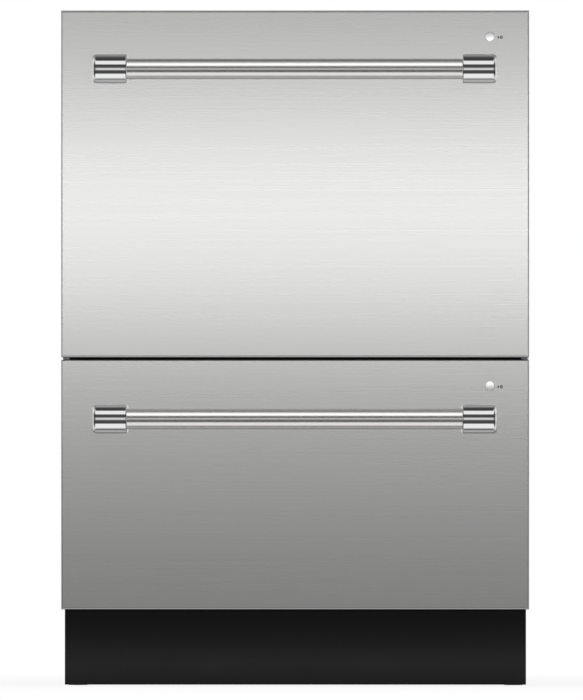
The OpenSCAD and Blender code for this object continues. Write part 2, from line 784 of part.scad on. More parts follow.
// Moulded tub with its rim, stiffening bands, sump and runner ledges
module tub(d) {
    z0 = floor_z(d);
    z1 = rim_z(d);
    r = tub_corner_r;
    color([0.8, 0.81, 0.82]) difference() {
        union() {
            difference() {
                union() {
                    translate([0, 0, z0]) linear_extrude(z1 - z0)
                        polygon(round_rect(-tub_hw, tub_y0, tub_hw, tub_y1, r));
                    translate([0, 0, z1 - 3]) linear_extrude(3)
                        polygon(round_rect(-tub_hw - rim_w, front_back_y, tub_hw + rim_w, tub_y1 + rim_w,
                                           r + rim_w));
                    for (z = [z0 + 24, z0 + (z1 - z0) / 3])
                        translate([0, 0, z]) linear_extrude(3)
                            polygon(round_rect(-tub_hw - 2.5, tub_y0 - 2.5, tub_hw + 2.5, tub_y1 + 2.5,
                                               r + 2.5));
                    translate([0, tub_mid_y, z0 - sump_h])
                        cylinder(d = sump_d, h = sump_h + 1);
                    both_sides() tub_ledge(d);
                    for (x = [-190, 160])
                        box([x, front_back_y, z0 + 36], [x + 30, tub_y0 + 0.5, z0 + 96]);
                    for (x = [-60, 60])
                        rod_y([x, tub_y1 - 0.5, z0 + 14], 9, 18);
                }
                translate([0, 0, z0 + tub_wall]) linear_extrude(z1 - z0)
                    polygon(round_rect(-in_hw, in_y0, in_hw, in_y1, r - tub_wall));
            }
            for (x = [-pedestal_x, pedestal_x], y = pedestal_y)
                rod_z([x, y, z0 + 1], 8, rack_under(d) - touch - z0 - 1);
        }
        translate([0, tub_mid_y, z0 - sump_h + tub_wall])
            cylinder(d = sump_d - 2 * tub_wall, h = sump_h + 1);
        rod_z([0, tub_mid_y, z0 - sump_h - 1], 12 + touch, 10);
        box([-dispenser_w / 2 + 6, tub_y0 - 1, dispenser_z(d) + 6],
            [dispenser_w / 2 - 6, in_y0 + 1, dispenser_z(d) + dispenser_h - 6]);
        for (x = [-60, 60])
            rod_y([x, tub_y1 - 10, z0 + 14], 6.5, 40);
    }
}

// Round filter with radial slots, rising to the outlet that carries the spray arm
arm_z = 15;
outlet_top = arm_z + spray_t - 3 - seat;
module filter_plate(d) {
    r = filter_d / 2;
    o = outlet_d / 2;
    z = floor_in(d);
    color([0.5, 0.52, 0.54]) translate([0, tub_mid_y, z]) difference() {
        rotate_extrude()
            polygon([[r, touch], [r, 2.5], [r - 10, 2.5], [o + 10, 11], [o, 11], [o, outlet_top],
                     [o - 3, outlet_top], [o - 3, 8], [o + 10, 8], [r - 10, touch]]);
        for (i = [0:filter_slots - 1])
            rotate([0, 0, i * 360 / filter_slots]) box([o + 18, -1, -1], [r - 18, 1, 14]);
    }
}

// Spray arm with a tapering blade, a hub over the outlet and a row of jets on each side
module spray_arm(d) {
    l = spray_len / 2;
    z = floor_in(d) + arm_z;
    color([0.36, 0.38, 0.4]) translate([0, tub_mid_y, z]) difference() {
        union() {
            intersection() {
                linear_extrude(spray_t)
                    polygon(concat(arc([l - 17, 0], 17, -80, 80, 10), [[60, 26], [0, 34], [-60, 26]],
                                   arc([-l + 17, 0], 17, 100, 260, 10), [[-60, -26], [0, -34], [60, -26]]));
                along_y(-40, 40)
                    polygon([[-l, 2], [-50, 0], [50, 0], [l, 2], [l, spray_t - 4], [60, spray_t],
                             [-60, spray_t], [-l, spray_t - 4]]);
            }
            cylinder(r = outlet_d / 2 + 5, h = spray_t);
            for (s = [-1, 1], i = [0:4])
                rod_z([s * (60 + i * (l - 84) / 4), s * (i % 2 * 12 - 6), 3], 3.4, spray_t - 3);
        }
        translate([0, 0, -1]) cylinder(r = outlet_d / 2 + slip, h = spray_t - 2);
        for (s = [-1, 1], i = [0:4])
            rod_z([s * (60 + i * (l - 84) / 4), s * (i % 2 * 12 - 6), spray_t - 3], 1.2, 6);
    }
}

// Impeller in the sump, turning on the motor's fixed spindle
module pump_rotor(d) {
    r = impeller_d / 2;
    color([0.25, 0.26, 0.28]) translate([0, tub_mid_y, floor_z(d) - sump_h + tub_wall + 1]) difference() {
        union() {
            cylinder(r = r, h = 2.5);
            cylinder(r = 11, h = 13);
            for (i = [0:7])
                rotate([0, 0, i * 45]) translate([10, 0, 2]) rotate([0, 0, 24])
                    box([0, -1, 0], [r - 14, 1, 8]);
        }
        translate([0, 0, -1]) cylinder(r = spindle_d / 2 + run, h = 20);
    }
}

// Flat wash motor under the sump, with cooling ribs and the spindle through the sump's floor
module wash_motor(d) {
    r = motor_d / 2;
    z1 = -sump_h - touch;
    color([0.22, 0.23, 0.25]) translate([0, tub_mid_y, floor_z(d)]) {
        difference() {
            union() {
                translate([0, 0, z1 - motor_h + 3]) cylinder(r = r, h = motor_h - 3);
                translate([0, 0, z1 - motor_h]) cylinder(r = r - 14, h = 4);
                for (a = [45:90:315])
                    rotate([0, 0, a]) box([r - 3, -9, z1 - 6], [r + 12, 9, z1]);
                box([-22, r - 6, z1 - 15], [22, r + 16, z1 - 1]);
            }
            for (i = [0:17])
                rotate([0, 0, i * 20]) box([r - 9, -2.5, z1 - motor_h - 1], [r + 2, 2.5, z1 - 7]);
            for (a = [45:90:315])
                rotate([0, 0, a]) rod_z([r + 6, 0, z1 - 8], 2.5, 10);
        }
        translate([0, 0, z1 - 1]) cylinder(r = 12, h = tub_wall + 1);
        translate([0, 0, z1 - 1]) cylinder(d = spindle_d, h = tub_wall + 17);
    }
}

// ---------------------------------------------------------------- lid

// Lid with its ribbed top and two carrying pins on each side
module lid(d) {
    z0 = lid_z(d);
    r = tub_corner_r + rim_w;
    cell_w = (2 * lid_hw - 8) / 4;
    cell_l = (lid_y1 - lid_y0 - 8) / 3;
    color([0.78, 0.79, 0.8]) union() {
        difference() {
            translate([0, 0, z0]) linear_extrude(lid_h)
                polygon(round_rect(-lid_hw, lid_y0, lid_hw, lid_y1, r));
            for (i = [0:3], j = [0:2])
                translate([0, 0, z0 + 3]) linear_extrude(lid_h)
                    polygon(round_rect(-lid_hw + 4 + i * cell_w + 1.5, lid_y0 + 4 + j * cell_l + 1.5,
                                       -lid_hw + 4 + (i + 1) * cell_w - 1.5,
                                       lid_y0 + 4 + (j + 1) * cell_l - 1.5, 26));
        }
        both_sides()
            for (y = pin_y)
                rod_x([lid_hw - 1.2, y, pin_z(d)], lid_pin_d / 2, guide_x + guide_t - seat - lid_hw + 1.2);
    }
}

// Seal with two lips under the edge of the lid
module lid_seal(d) {
    r = tub_corner_r + rim_w - 1;
    x = lid_hw - 1;
    z0 = lid_z(d) - seal_h;
    w = seal_w / 3;
    color([0.16, 0.16, 0.17]) difference() {
        ring(-x, lid_y0 + 0.5, x, lid_y1 - 1, r, seal_w, z0, lid_z(d));
        ring(-x + w, lid_y0 + 0.5 + w, x - w, lid_y1 - 1 - w, r - w, w, z0 - 1, lid_z(d) - 2.5);
    }
}

// Sliding yoke on each side: its two sloping slots lower the lid's pins as it moves back
module lid_yokes(d) {
    z = pin_z(d);
    color([0.9, 0.9, 0.9]) both_sides() {
        difference() {
            along_x(yoke_x, yoke_x + yoke_t)
                polygon(round_rect(yoke_y0, z - yoke_down, yoke_y0 + yoke_len, z + yoke_up, 5));
            for (y = pin_y)
                along_x(yoke_x - 1, yoke_x + yoke_t + 1)
                    polygon(slot_line([y - yoke_travel, z - lid_lift], [y, z], slot_d / 2));
            for (y = [pin_y[0] + 40, pin_y[0] + 110])
                along_x(yoke_x - 1, yoke_x + yoke_t + 1)
                    polygon(round_rect(y, z - yoke_down + 6, y + 50, z + yoke_up - 6, 4));
        }
        rod_y([yoke_x + yoke_t / 2, yoke_y0 + yoke_len - 1, z - 4.5], yoke_t / 2, yoke_travel + 24);
    }
}

// Guide channel of a yoke with upright slots for the lid's pins, and the actuator behind it
module lid_actuator(d) {
    z = pin_z(d);
    y0 = yoke_y0 - 6;
    x1 = guide_x + guide_t;
    up = yoke_up + seat;
    down = yoke_down + seat;
    difference() {
        union() {
            box([guide_x, y0, z - down - 2], [x1, actuator_y0 + 1, z + up + 2]);
            for (h = [z - down - 2, z + up])
                box([yoke_x, y0, h], [x1, actuator_y0 + 1, h + 2]);
            for (y = [y0, y0 + 175, actuator_y0 - 14])
                box([x1 - 0.5, y, z - 16], [wall_x, y + 14, z + 8]);
            box([yoke_x - 0.6, actuator_y0, z - down - 2], [wall_x, actuator_y0 + actuator_len, z + up + 2]);
            rod_x([yoke_x + 2, actuator_y0 + actuator_len - 24, z - 4], 16, wall_x - yoke_x - 2);
        }
        for (y = pin_y)
            along_x(guide_x - 1, x1 + 1)
                polygon(slot_line([y, z - lid_lift], [y, z], slot_d / 2));
        rod_y([yoke_x + yoke_t / 2, actuator_y0 - 1, z - 4.5], yoke_t / 2 + run, 2 * yoke_travel + 12);
    }
}

module lid_actuators() {
    color([0.3, 0.31, 0.33]) both_sides()
        for (d = [0, 1]) lid_actuator(d);
}

// ---------------------------------------------------------------- rack

cross_x = [for (i = [0:wires_across - 1]) -rack_hw + wire_inset + i * cross_pitch];
deep_y = [for (i = [0:wires_deep - 1]) rack_y0 + wire_inset + i * deep_pitch];
rail_bend = 16;

// Flat grid of the rack's floor
module rack_floor(d) {
    z = rack_z(d);
    for (x = cross_x)
        rod_y([x, rack_y0 + rack_bend_r + touch, z], wire_r, rack_y1 - rack_y0 - 2 * rack_bend_r - 2 * touch);
    for (y = deep_y)
        rod_x([-rack_hw + rack_bend_r + touch, y, z - under_wire], wire_r,
              2 * (rack_hw - rack_bend_r - touch));
}

// Wall of bent wires across the rack, at its front (s = -1) or its back (s = 1)
module rack_end(d, s) {
    z = rack_z(d);
    y = s < 0 ? rack_y0 : rack_y1;
    top = s < 0 ? rack_front_top(d) : rack_top(d);
    half = s < 0 ? rack_hw - rail_in - rail_r - touch : rack_hw - rail_in - rail_bend - touch;
    for (x = cross_x) {
        translate([x, y - s * rack_bend_r, z + rack_bend_r]) rotate([-90, 0, s * 90])
            elbow(rack_bend_r, wire_r);
        rod_z([x, y, z + rack_bend_r], wire_r, top - z - rack_bend_r);
    }
    rod_x([-half, y - s * rail_in, top], rail_r, 2 * half);
    rod_x([cross_x[0] - 4, y - s * under_wire, z + rack_bend_r + 22], wire_r, 2 * (rack_hw - wire_inset + 4));
}

// Right wall of the rack with its rail, which bends down at the front and round at the back
module rack_side(d) {
    z = rack_z(d) - under_wire;
    top = rack_top(d);
    x = rack_hw - rail_in;
    for (y = deep_y) {
        translate([rack_hw - rack_bend_r, y, z + rack_bend_r]) rotate([-90, 0, 0])
            elbow(rack_bend_r, wire_r);
        rod_z([rack_hw, y, z + rack_bend_r], wire_r, top - z - rack_bend_r);
    }
    rod_y([x, rack_y0 + rail_in + rail_bend, top], rail_r, rack_y1 - rack_y0 - 2 * rail_in - 2 * rail_bend);
    translate([x - rail_bend, rack_y1 - rail_in - rail_bend, top]) elbow(rail_bend, rail_r);
    translate([x, rack_y0 + rail_in + rail_bend, top - rail_bend]) rotate([90, 0, -90])
        elbow(rail_bend, rail_r);
    rod_z([x, rack_y0 + rail_in, z + rack_bend_r + 22], rail_r, top - rail_bend - z - rack_bend_r - 22);
    rod_y([rack_hw - under_wire, rack_y0 + rail_in, z + rack_bend_r + 28], wire_r,
          rack_y1 - rack_y0 - rack_bend_r - rail_in);
}

// Row of tines on one rod
module tine_row(y, z) {
    x1 = tine_x0 + (tine_count - 1) * tine_pitch;
    rod_x([tine_x0 - 9, y, z], tine_rod_r, x1 - tine_x0 + 18);
    for (i = [0:tine_count - 1])
        rod_z([tine_x0 + i * tine_pitch, y, z], tine_r, tine_h);
}

fold_lift = 2.5;
clip_x = [tine_x0 - 8.5, tine_x0 + (tine_count - 1) * tine_pitch + 3.5];

module rack(d) {
    color([0.55, 0.57, 0.6]) {
        rack_floor(d);
        rack_end(d, -1);
        rack_end(d, 1);
        both_sides() rack_side(d);
        for (y = fixed_rows) tine_row(y, tine_rod_z(d));
        for (x = clip_x)
            difference() {
                box([x, fold_y - 5, rack_z(d) + wire_r + touch],
                    [x + 5, fold_y + 5, tine_rod_z(d) + fold_lift + 4.5]);
                rod_x([x - 1, fold_y, tine_rod_z(d) + fold_lift], tine_rod_r + run, 7);
            }
        for (j = [1, wires_deep - 2])
            difference() {
                box([-rack_hw + wire_r + touch, deep_y[j] - 5, cup_z(d) - 5],
                    [cup_x + 4.5, deep_y[j] + 5, cup_z(d) + 4.5]);
                rod_y([cup_x, deep_y[j] - 6, cup_z(d)], cup_r + run, 12);
            }
    }
}

module fold_tines(d) {
    color([0.5, 0.52, 0.56]) tine_row(fold_y, tine_rod_z(d) + fold_lift);
}

// Flip-up shelf for cups on the left wall of the rack
module cup_rack(d) {
    z = cup_z(d);
    y0 = deep_y[1] - 9;
    y1 = deep_y[wires_deep - 2] + 9;
    n = 7;
    color([0.5, 0.52, 0.56]) {
        rod_y([cup_x, y0, z], cup_r, y1 - y0);
        rod_y([cup_x + cup_rack_w - 8, y0 + 16, z], cup_r, y1 - y0 - 32);
        rod_y([cup_x + cup_rack_w / 2, y0 + 16, z - 3.2], 1.7, y1 - y0 - 32);
        for (i = [0:n - 1])
            rod_x([cup_x, y0 + 18 + i * (y1 - y0 - 36) / (n - 1), z], 1.7, cup_rack_w - 6);
    }
}

// Upright wall of the cutlery basket with its row of slots, from one corner to another
module basket_wall(a, b, z) {
    long = b[0] - a[0] > b[1] - a[1];
    n = floor(((long ? b[0] - a[0] : b[1] - a[1]) - 16) / 12);
    difference() {
        box([a[0], a[1], z], [b[0], b[1], z + basket_h - 14]);
        for (i = [0:n - 1])
            let (c = (a + b) / 2 + (i - (n - 1) / 2) * (long ? [12, 0] : [0, 12]))
            let (h = long ? [3, b[1] - a[1]] : [b[0] - a[0], 3])
            box([c[0] - h[0], c[1] - h[1], z + 14], [c[0] + h[0], c[1] + h[1], z + basket_h - 26]);
    }
}

// Cutlery basket of moulded plates clipped together: four slotted walls, a drained floor, a grip
// and two plates that part its three cells. Its front edge steps over the bends of the wires
module cutlery_basket(d) {
    x0 = basket_x0;
    y0 = basket_y0;
    x1 = x0 + basket_w;
    y1 = y0 + basket_l;
    z = rack_z(d) + wire_r + touch;
    t = 2;
    u = t + touch;
    ym = (y0 + y1) / 2;
    n = floor((basket_w - 20) / 12);
    color([0.42, 0.44, 0.47]) {
        difference() {
            union() {
                basket_wall([x0, y0], [x1, y0 + t], z);
                basket_wall([x0, y0 + u], [x0 + t, y1 - u], z);
                basket_wall([x1 - t, y0 + u], [x1, y1 - u], z);
                box([x0 + u, y0 + u, z], [x1 - u, y1 - u, z + t]);
            }
            for (i = [0:n - 1], y = [y0 + 10, ym + 8])
                let (x = (x0 + x1) / 2 + (i - (n - 1) / 2) * 12)
                box([x - 3, y, z - 1], [x + 3, y + basket_l / 2 - 18, z + t + 1]);
            box([x0 - 1, y0 - 1, z - 1], [x1 + 1, y0 + t + touch / 2, z + 1.2]);
            box([x0 - 1, y0 - 1, z - 1], [x1 + 1, y0 + 4.2, z + 0.4]);
        }
        basket_wall([x0, y1 - t], [x1, y1], z);
        along_y(ym - 5, ym + 5) difference() {
            polygon(round_rect(x0 + u, z + basket_h - 35, x1 - u, z + basket_h, 6));
            translate([x0 + u + 6, z + basket_h - 50]) square([basket_w - 2 * u - 12, 40]);
        }
    }
    color([0.36, 0.38, 0.41])
        for (i = [1, 2])
            box([x0 + i * basket_w / 3 - 1, y0 + u, z + u],
                [x0 + i * basket_w / 3 + 1, y1 - u, z + basket_h - 34 - touch]);
}

// ---------------------------------------------------------------- dispenser

cup_w = dispenser_w * 0.5;
cup_left = -dispenser_w / 2 + 10;
door_hinge_y = in_y0 + 2 + 3.2;
function door_hinge_z(d) = dispenser_z(d) + 7;
door_h = dispenser_h - 14;

// Dispenser in the front wall of the tub: a detergent cup, two hinge ears and a rinse aid cap
module dispenser_body(d) {
    z = dispenser_z(d);
    color([0.66, 0.67, 0.69]) difference() {
        union() {
            along_y(in_y0 + touch, in_y0 + 2)
                polygon(round_rect(-dispenser_w / 2, z, dispenser_w / 2, z + dispenser_h, 6));
            box([-dispenser_w / 2 + 6 + touch, front_back_y + touch, z + 6 + touch],
                [dispenser_w / 2 - 6 - touch, in_y0 + 1, z + dispenser_h - 6 - touch]);
            for (x = [cup_left - 5, cup_left + cup_w + 1])
                box([x, in_y0 + 1, z + 3], [x + 4, door_hinge_y + 3, z + 11]);
            rod_y([dispenser_w / 4 + 6, in_y0 + 1, z + dispenser_h / 2], 17, 5);
            box([dispenser_w / 4 - 8, in_y0 + 5, z + dispenser_h / 2 - 2],
                [dispenser_w / 4 + 20, in_y0 + 8, z + dispenser_h / 2 + 2]);
        }
        along_y(front_back_y + 2, in_y0 + 4)
            polygon(round_rect(cup_left + 6, z + 16, cup_left + cup_w - 6, z + dispenser_h - 12, 6));
        rod_x([cup_left - 8, door_hinge_y, door_hinge_z(d)], 1.5 + run, cup_w + 18);
    }
}

// Door of the detergent cup, which drops open about the pin along its lower edge
module dispenser_door(d) {
    z = door_hinge_z(d);
    color([0.74, 0.75, 0.77]) difference() {
        union() {
            rod_x([cup_left - 4.5, door_hinge_y, z], 1.5, cup_w + 9);
            along_y(in_y0 + 2 + seat, in_y0 + 5)
                polygon(round_rect(cup_left, z + 0.5, cup_left + cup_w, z + door_h, 4));
            box([cup_left + 1, in_y0 + 4, z - 2], [cup_left + cup_w - 1, door_hinge_y + 2, z + 5]);
        }
        along_y(in_y0 + 4, in_y0 + 8)
            polygon(round_rect(cup_left + 8, z + 12, cup_left + cup_w - 8, z + door_h - 14, 5));
    }
}

// ---------------------------------------------------------------- what is drawn

chassis_sides();
top_panel();
rear_panel();
base_pan();
middle_rail();
kick_panel();
fixing_brackets();
inlet_valve();
drain_spigots();
cable_gland();
fixed_rails();
lid_actuators();
foot(-foot_x, foot_front_y);  // foot_front_left
foot(foot_x, foot_front_y);  // foot_front_right
foot(-foot_x, foot_back_y);  // foot_rear_left
foot(foot_x, foot_back_y);  // foot_rear_right
front_skin(1);  // upper_front_skin
front_carrier(1);  // upper_front_carrier
control_strip(1);  // upper_control_strip
handle_bar(1);  // upper_handle_bar
handle_ends(1);  // upper_handle_ends
start_button(1);  // upper_start_button
tub(1);  // upper_tub
runner_inner(1);  // upper_runner_inner
runner_middle(1);  // upper_runner_middle
lid(1);  // upper_lid
lid_seal(1);  // upper_lid_seal
lid_yokes(1);  // upper_lid_yokes
rack(1);  // upper_rack
fold_tines(1);  // upper_fold_tines
cup_rack(1);  // upper_cup_rack
cutlery_basket(1);  // upper_cutlery_basket
spray_arm(1);  // upper_spray_arm
filter_plate(1);  // upper_filter_plate
pump_rotor(1);  // upper_pump_rotor
wash_motor(1);  // upper_wash_motor
dispenser_body(1);  // upper_dispenser_body
dispenser_door(1);  // upper_dispenser_door
front_skin(0);  // lower_front_skin
front_carrier(0);  // lower_front_carrier
control_strip(0);  // lower_control_strip
handle_bar(0);  // lower_handle_bar
handle_ends(0);  // lower_handle_ends
start_button(0);  // lower_start_button
tub(0);  // lower_tub
runner_inner(0);  // lower_runner_inner
runner_middle(0);  // lower_runner_middle
lid(0);  // lower_lid
lid_seal(0);  // lower_lid_seal
lid_yokes(0);  // lower_lid_yokes
rack(0);  // lower_rack
fold_tines(0);  // lower_fold_tines
cup_rack(0);  // lower_cup_rack
cutlery_basket(0);  // lower_cutlery_basket
spray_arm(0);  // lower_spray_arm
filter_plate(0);  // lower_filter_plate
pump_rotor(0);  // lower_pump_rotor
wash_motor(0);  // lower_wash_motor
dispenser_body(0);  // lower_dispenser_body
dispenser_door(0);  // lower_dispenser_door
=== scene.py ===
"""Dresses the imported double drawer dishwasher: finishes, small trim and the studio."""

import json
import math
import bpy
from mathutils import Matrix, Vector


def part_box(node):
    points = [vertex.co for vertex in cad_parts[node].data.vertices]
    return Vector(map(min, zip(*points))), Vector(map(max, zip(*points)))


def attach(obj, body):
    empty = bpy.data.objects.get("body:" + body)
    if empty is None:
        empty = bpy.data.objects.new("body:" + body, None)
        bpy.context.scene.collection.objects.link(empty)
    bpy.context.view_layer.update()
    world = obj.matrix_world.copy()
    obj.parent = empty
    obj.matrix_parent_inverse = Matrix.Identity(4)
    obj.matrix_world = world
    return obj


bl_info = {
    "name": "Double drawer dishwasher",
    "version": (1, 0, 0),
    "blender": (4, 5, 0),
    "location": "View3D > Sidebar > Dishwasher",
    "description": "Finishes, small trim and the studio of a double drawer dishwasher",
    "category": "Object",
}

import bmesh
import bpy
import numpy as np
from bpy.props import FloatProperty, FloatVectorProperty, IntProperty, PointerProperty

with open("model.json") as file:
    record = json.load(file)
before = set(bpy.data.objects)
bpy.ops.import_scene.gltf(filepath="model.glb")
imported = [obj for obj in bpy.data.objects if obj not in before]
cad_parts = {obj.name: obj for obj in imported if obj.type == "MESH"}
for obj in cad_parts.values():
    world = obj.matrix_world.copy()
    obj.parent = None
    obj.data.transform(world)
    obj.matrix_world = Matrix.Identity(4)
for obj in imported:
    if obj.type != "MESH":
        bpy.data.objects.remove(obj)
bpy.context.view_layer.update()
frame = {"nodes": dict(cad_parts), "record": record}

DRAWERS = ("upper", "lower")


def box_of(node):
    """Lowest and highest corner of a CAD node as two arrays."""
    low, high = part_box(node)
    return np.array(low), np.array(high)


FACE_Y = float(box_of("upper_front_skin")[0][1])


# ---------------------------------------------------------------- settings


def length(title, about, default):
    """A length property in metres."""
    return FloatProperty(
        name=title, description=about, default=default, unit="LENGTH", precision=5
    )


def amount(title, about, default):
    """A property that is a plain number."""
    return FloatProperty(name=title, description=about, default=default)


def colour(title, about, default):
    """A colour property, linear."""
    return FloatVectorProperty(
        name=title,
        description=about,
        default=default,
        size=3,
        subtype="COLOR",
        min=0,
        max=1,
    )


class StudioSettings(bpy.types.PropertyGroup):
    """Camera, floor and lamps."""

    camera_distance: length("Camera distance", "From the fronts to the camera", 30.0)
    camera_side: length("Camera side", "Middle of the view along X", -0.0046)
    camera_turn: FloatProperty(
        name="Camera turn",
        description="How far the camera stands round to the right",
        default=math.radians(0.7),
        subtype="ANGLE",
    )
    camera_height: length("Camera height", "Camera above the floor", 0.4296)
    view_height: length("View height", "Height of the frame at the fronts", 0.8956)
    strip_distance: length("Strip distance", "From the fronts to the strip lights", 1.3)
    strip_size: length("Strip size", "Height of a strip light", 0.13)
    strip_glow: amount("Strip glow", "Radiance of the brightest strip light", 2.7)
    line_glow: amount("Line glow", "Radiance of the handles' lamp", 0.34)
    canopy_glow: amount("Canopy glow", "Radiance of the bars' lamp", 0.42)
    low_glow: amount("Low glow", "Radiance of the kick panel's lamp", 1.1)
    overhead_glow: amount("Overhead glow", "Radiance of the lamp overhead", 1.2)
    ambient: amount("Ambient", "Light from all round on matt surfaces", 0.7)
    floor_reach: length("Floor reach", "From the middle to the floor's edge", 30.0)
    floor_white: amount("Floor white", "Share of plain white near the part", 0.86)
    floor_colour: colour("Floor", "Colour of the floor", (0.92, 0.92, 0.92))


class FinishSettings(bpy.types.PropertyGroup):
    """Colours of the finishes."""

    front_steel: colour(
        "Front steel", "Brushed steel of the fronts", (0.49, 0.49, 0.486)
    )
    sleeve_steel: colour(
        "Sleeve steel", "Polished steel of the sleeves", (0.86, 0.86, 0.865)
    )
    bar_steel: colour("Bar steel", "Satin steel of the bars", (0.84, 0.83, 0.815))
    button_steel: colour("Button steel", "Steel of the buttons", (0.78, 0.78, 0.78))
    zinc: colour("Zinc", "Zinc of the sheets", (0.56, 0.58, 0.6))
    plating: colour("Plating", "Bright zinc of rails and straps", (0.62, 0.635, 0.65))
    black_paint: colour("Black paint", "Kick panel", (0.004, 0.004, 0.0041))
    motor_paint: colour("Motor paint", "Cases of the motors", (0.035, 0.036, 0.04))
    black_plastic: colour("Black plastic", "Feet and carriers", (0.016, 0.016, 0.018))
    touch_glass: colour("Touch glass", "Touch strips", (0.008, 0.008, 0.009))
    tub_grey: colour("Tub grey", "Moulded plastic of the tubs", (0.46, 0.48, 0.5))
    lid_grey: colour("Lid grey", "Moulded plastic of the lids", (0.5, 0.51, 0.53))
    white_plastic: colour("White plastic", "Valve and yokes", (0.68, 0.68, 0.67))
    grey_plastic: colour("Grey plastic", "Baskets and spray arms", (0.11, 0.115, 0.13))
    wire_grey: colour("Wire grey", "Coating of the racks", (0.22, 0.235, 0.26))
    seal_black: colour("Seal black", "Rubber of the lid seals", (0.022, 0.022, 0.024))
    ink: colour("Ink", "Start signs", (0.012, 0.012, 0.013))
    pale_ink: colour("Pale ink", "Signs of the touch keys", (0.6, 0.6, 0.6))


class TrimSettings(bpy.types.PropertyGroup):
    """Sizes of the small trim."""

    sign_gap: length("Sign gap", "From the button's middle to the sign", 0.0111)
    sign_height: length("Sign height", "Height of the start sign", 0.004)
    sign_drop: length("Sign drop", "Sign's middle under the button's middle", 0.0008)
    ink_height: length("Ink height", "Thickness of the printed ink", 0.00006)
    ink_gap: length("Ink gap", "From a surface to the ink on it", 0.00001)
    screw_radius: length("Screw radius", "Radius of a sheet screw's head", 0.0042)
    screw_height: length("Screw height", "Height of a sheet screw's head", 0.0011)
    screw_sink: length("Screw sink", "Depth of a screw's head in the sheet", 0.0001)
    screw_rows: IntProperty(
        name="Screw rows", description="Screws up each edge of the back", default=6
    )
    lowest_screw: length("Lowest screw", "Its height over the sides' foot", 0.03)
    highest_screw: length("Highest screw", "From it to the sides' top", 0.04)
    back_inset: length("Back inset", "From a side to the back's screws", 0.022)
    side_inset: length("Side inset", "From the back to a side's screws", 0.012)
    strap_start: length("Strap start", "From a strap's front to its screw", 0.05)
    strap_pitch: length("Strap pitch", "From a strap's screw to the next", 0.018)
    strap_inset: length("Strap inset", "From a strap's side to its screws", 0.014)
    bead_radius: length("Bead radius", "Radius of the coating bead on a tine", 0.0023)
    tine_rod: length("Tine rod", "Radius of the rod that carries the tines", 0.002)
    fold_lift: length("Fold lift", "Height of folding tips over fixed tips", 0.0025)
    row_gap: length("Row gap", "From a folded row's tips to the next row", 0.008)
    key_sign: length("Key sign", "Height of a touch key's sign", 0.0044)
    key_margin: length("Key margin", "From the strip's end to the first key", 0.049)
    key_pitch: length("Key pitch", "From one touch key to the next", 0.034)
    key_depth: length("Key depth", "Depth of a touch key's field", 0.0003)
    round_steps: IntProperty(
        name="Round steps", description="Steps round a screw's head", default=24
    )
    bead_steps: IntProperty(
        name="Bead steps", description="Steps round a tine's bead", default=10
    )


# ---------------------------------------------------------------- node helpers


class Value:
    """A socket with arithmetic: an expression on values adds its Math nodes."""

    def __init__(self, finish, socket):
        self.finish = finish
        self.socket = socket

    def math(self, operation, *values):
        """One Math node in the same tree."""
        return self.finish.math(operation, *values)

    def __add__(self, other):
        return self.math("ADD", self, other)

    __radd__ = __add__

    def __sub__(self, other):
        return self.math("SUBTRACT", self, other)

    def __rsub__(self, other):
        return self.math("SUBTRACT", other, self)

    def __mul__(self, other):
        return self.math("MULTIPLY", self, other)

    __rmul__ = __mul__

    def __truediv__(self, other):
        return self.math("DIVIDE", self, other)

    def __rtruediv__(self, other):
        return self.math("DIVIDE", other, self)

    def __abs__(self):
        return self.math("ABSOLUTE", self)

    def clamp(self, low=0.0, high=1.0):
        """Held between two numbers."""
        return self.math("MINIMUM", self.math("MAXIMUM", self, low), high)

    def smooth(self, low, high):
        """0 below low, 1 above high, and a smooth step between them."""
        t = ((self - low) / (high - low)).clamp()
        return t * t * (3 - 2 * t)


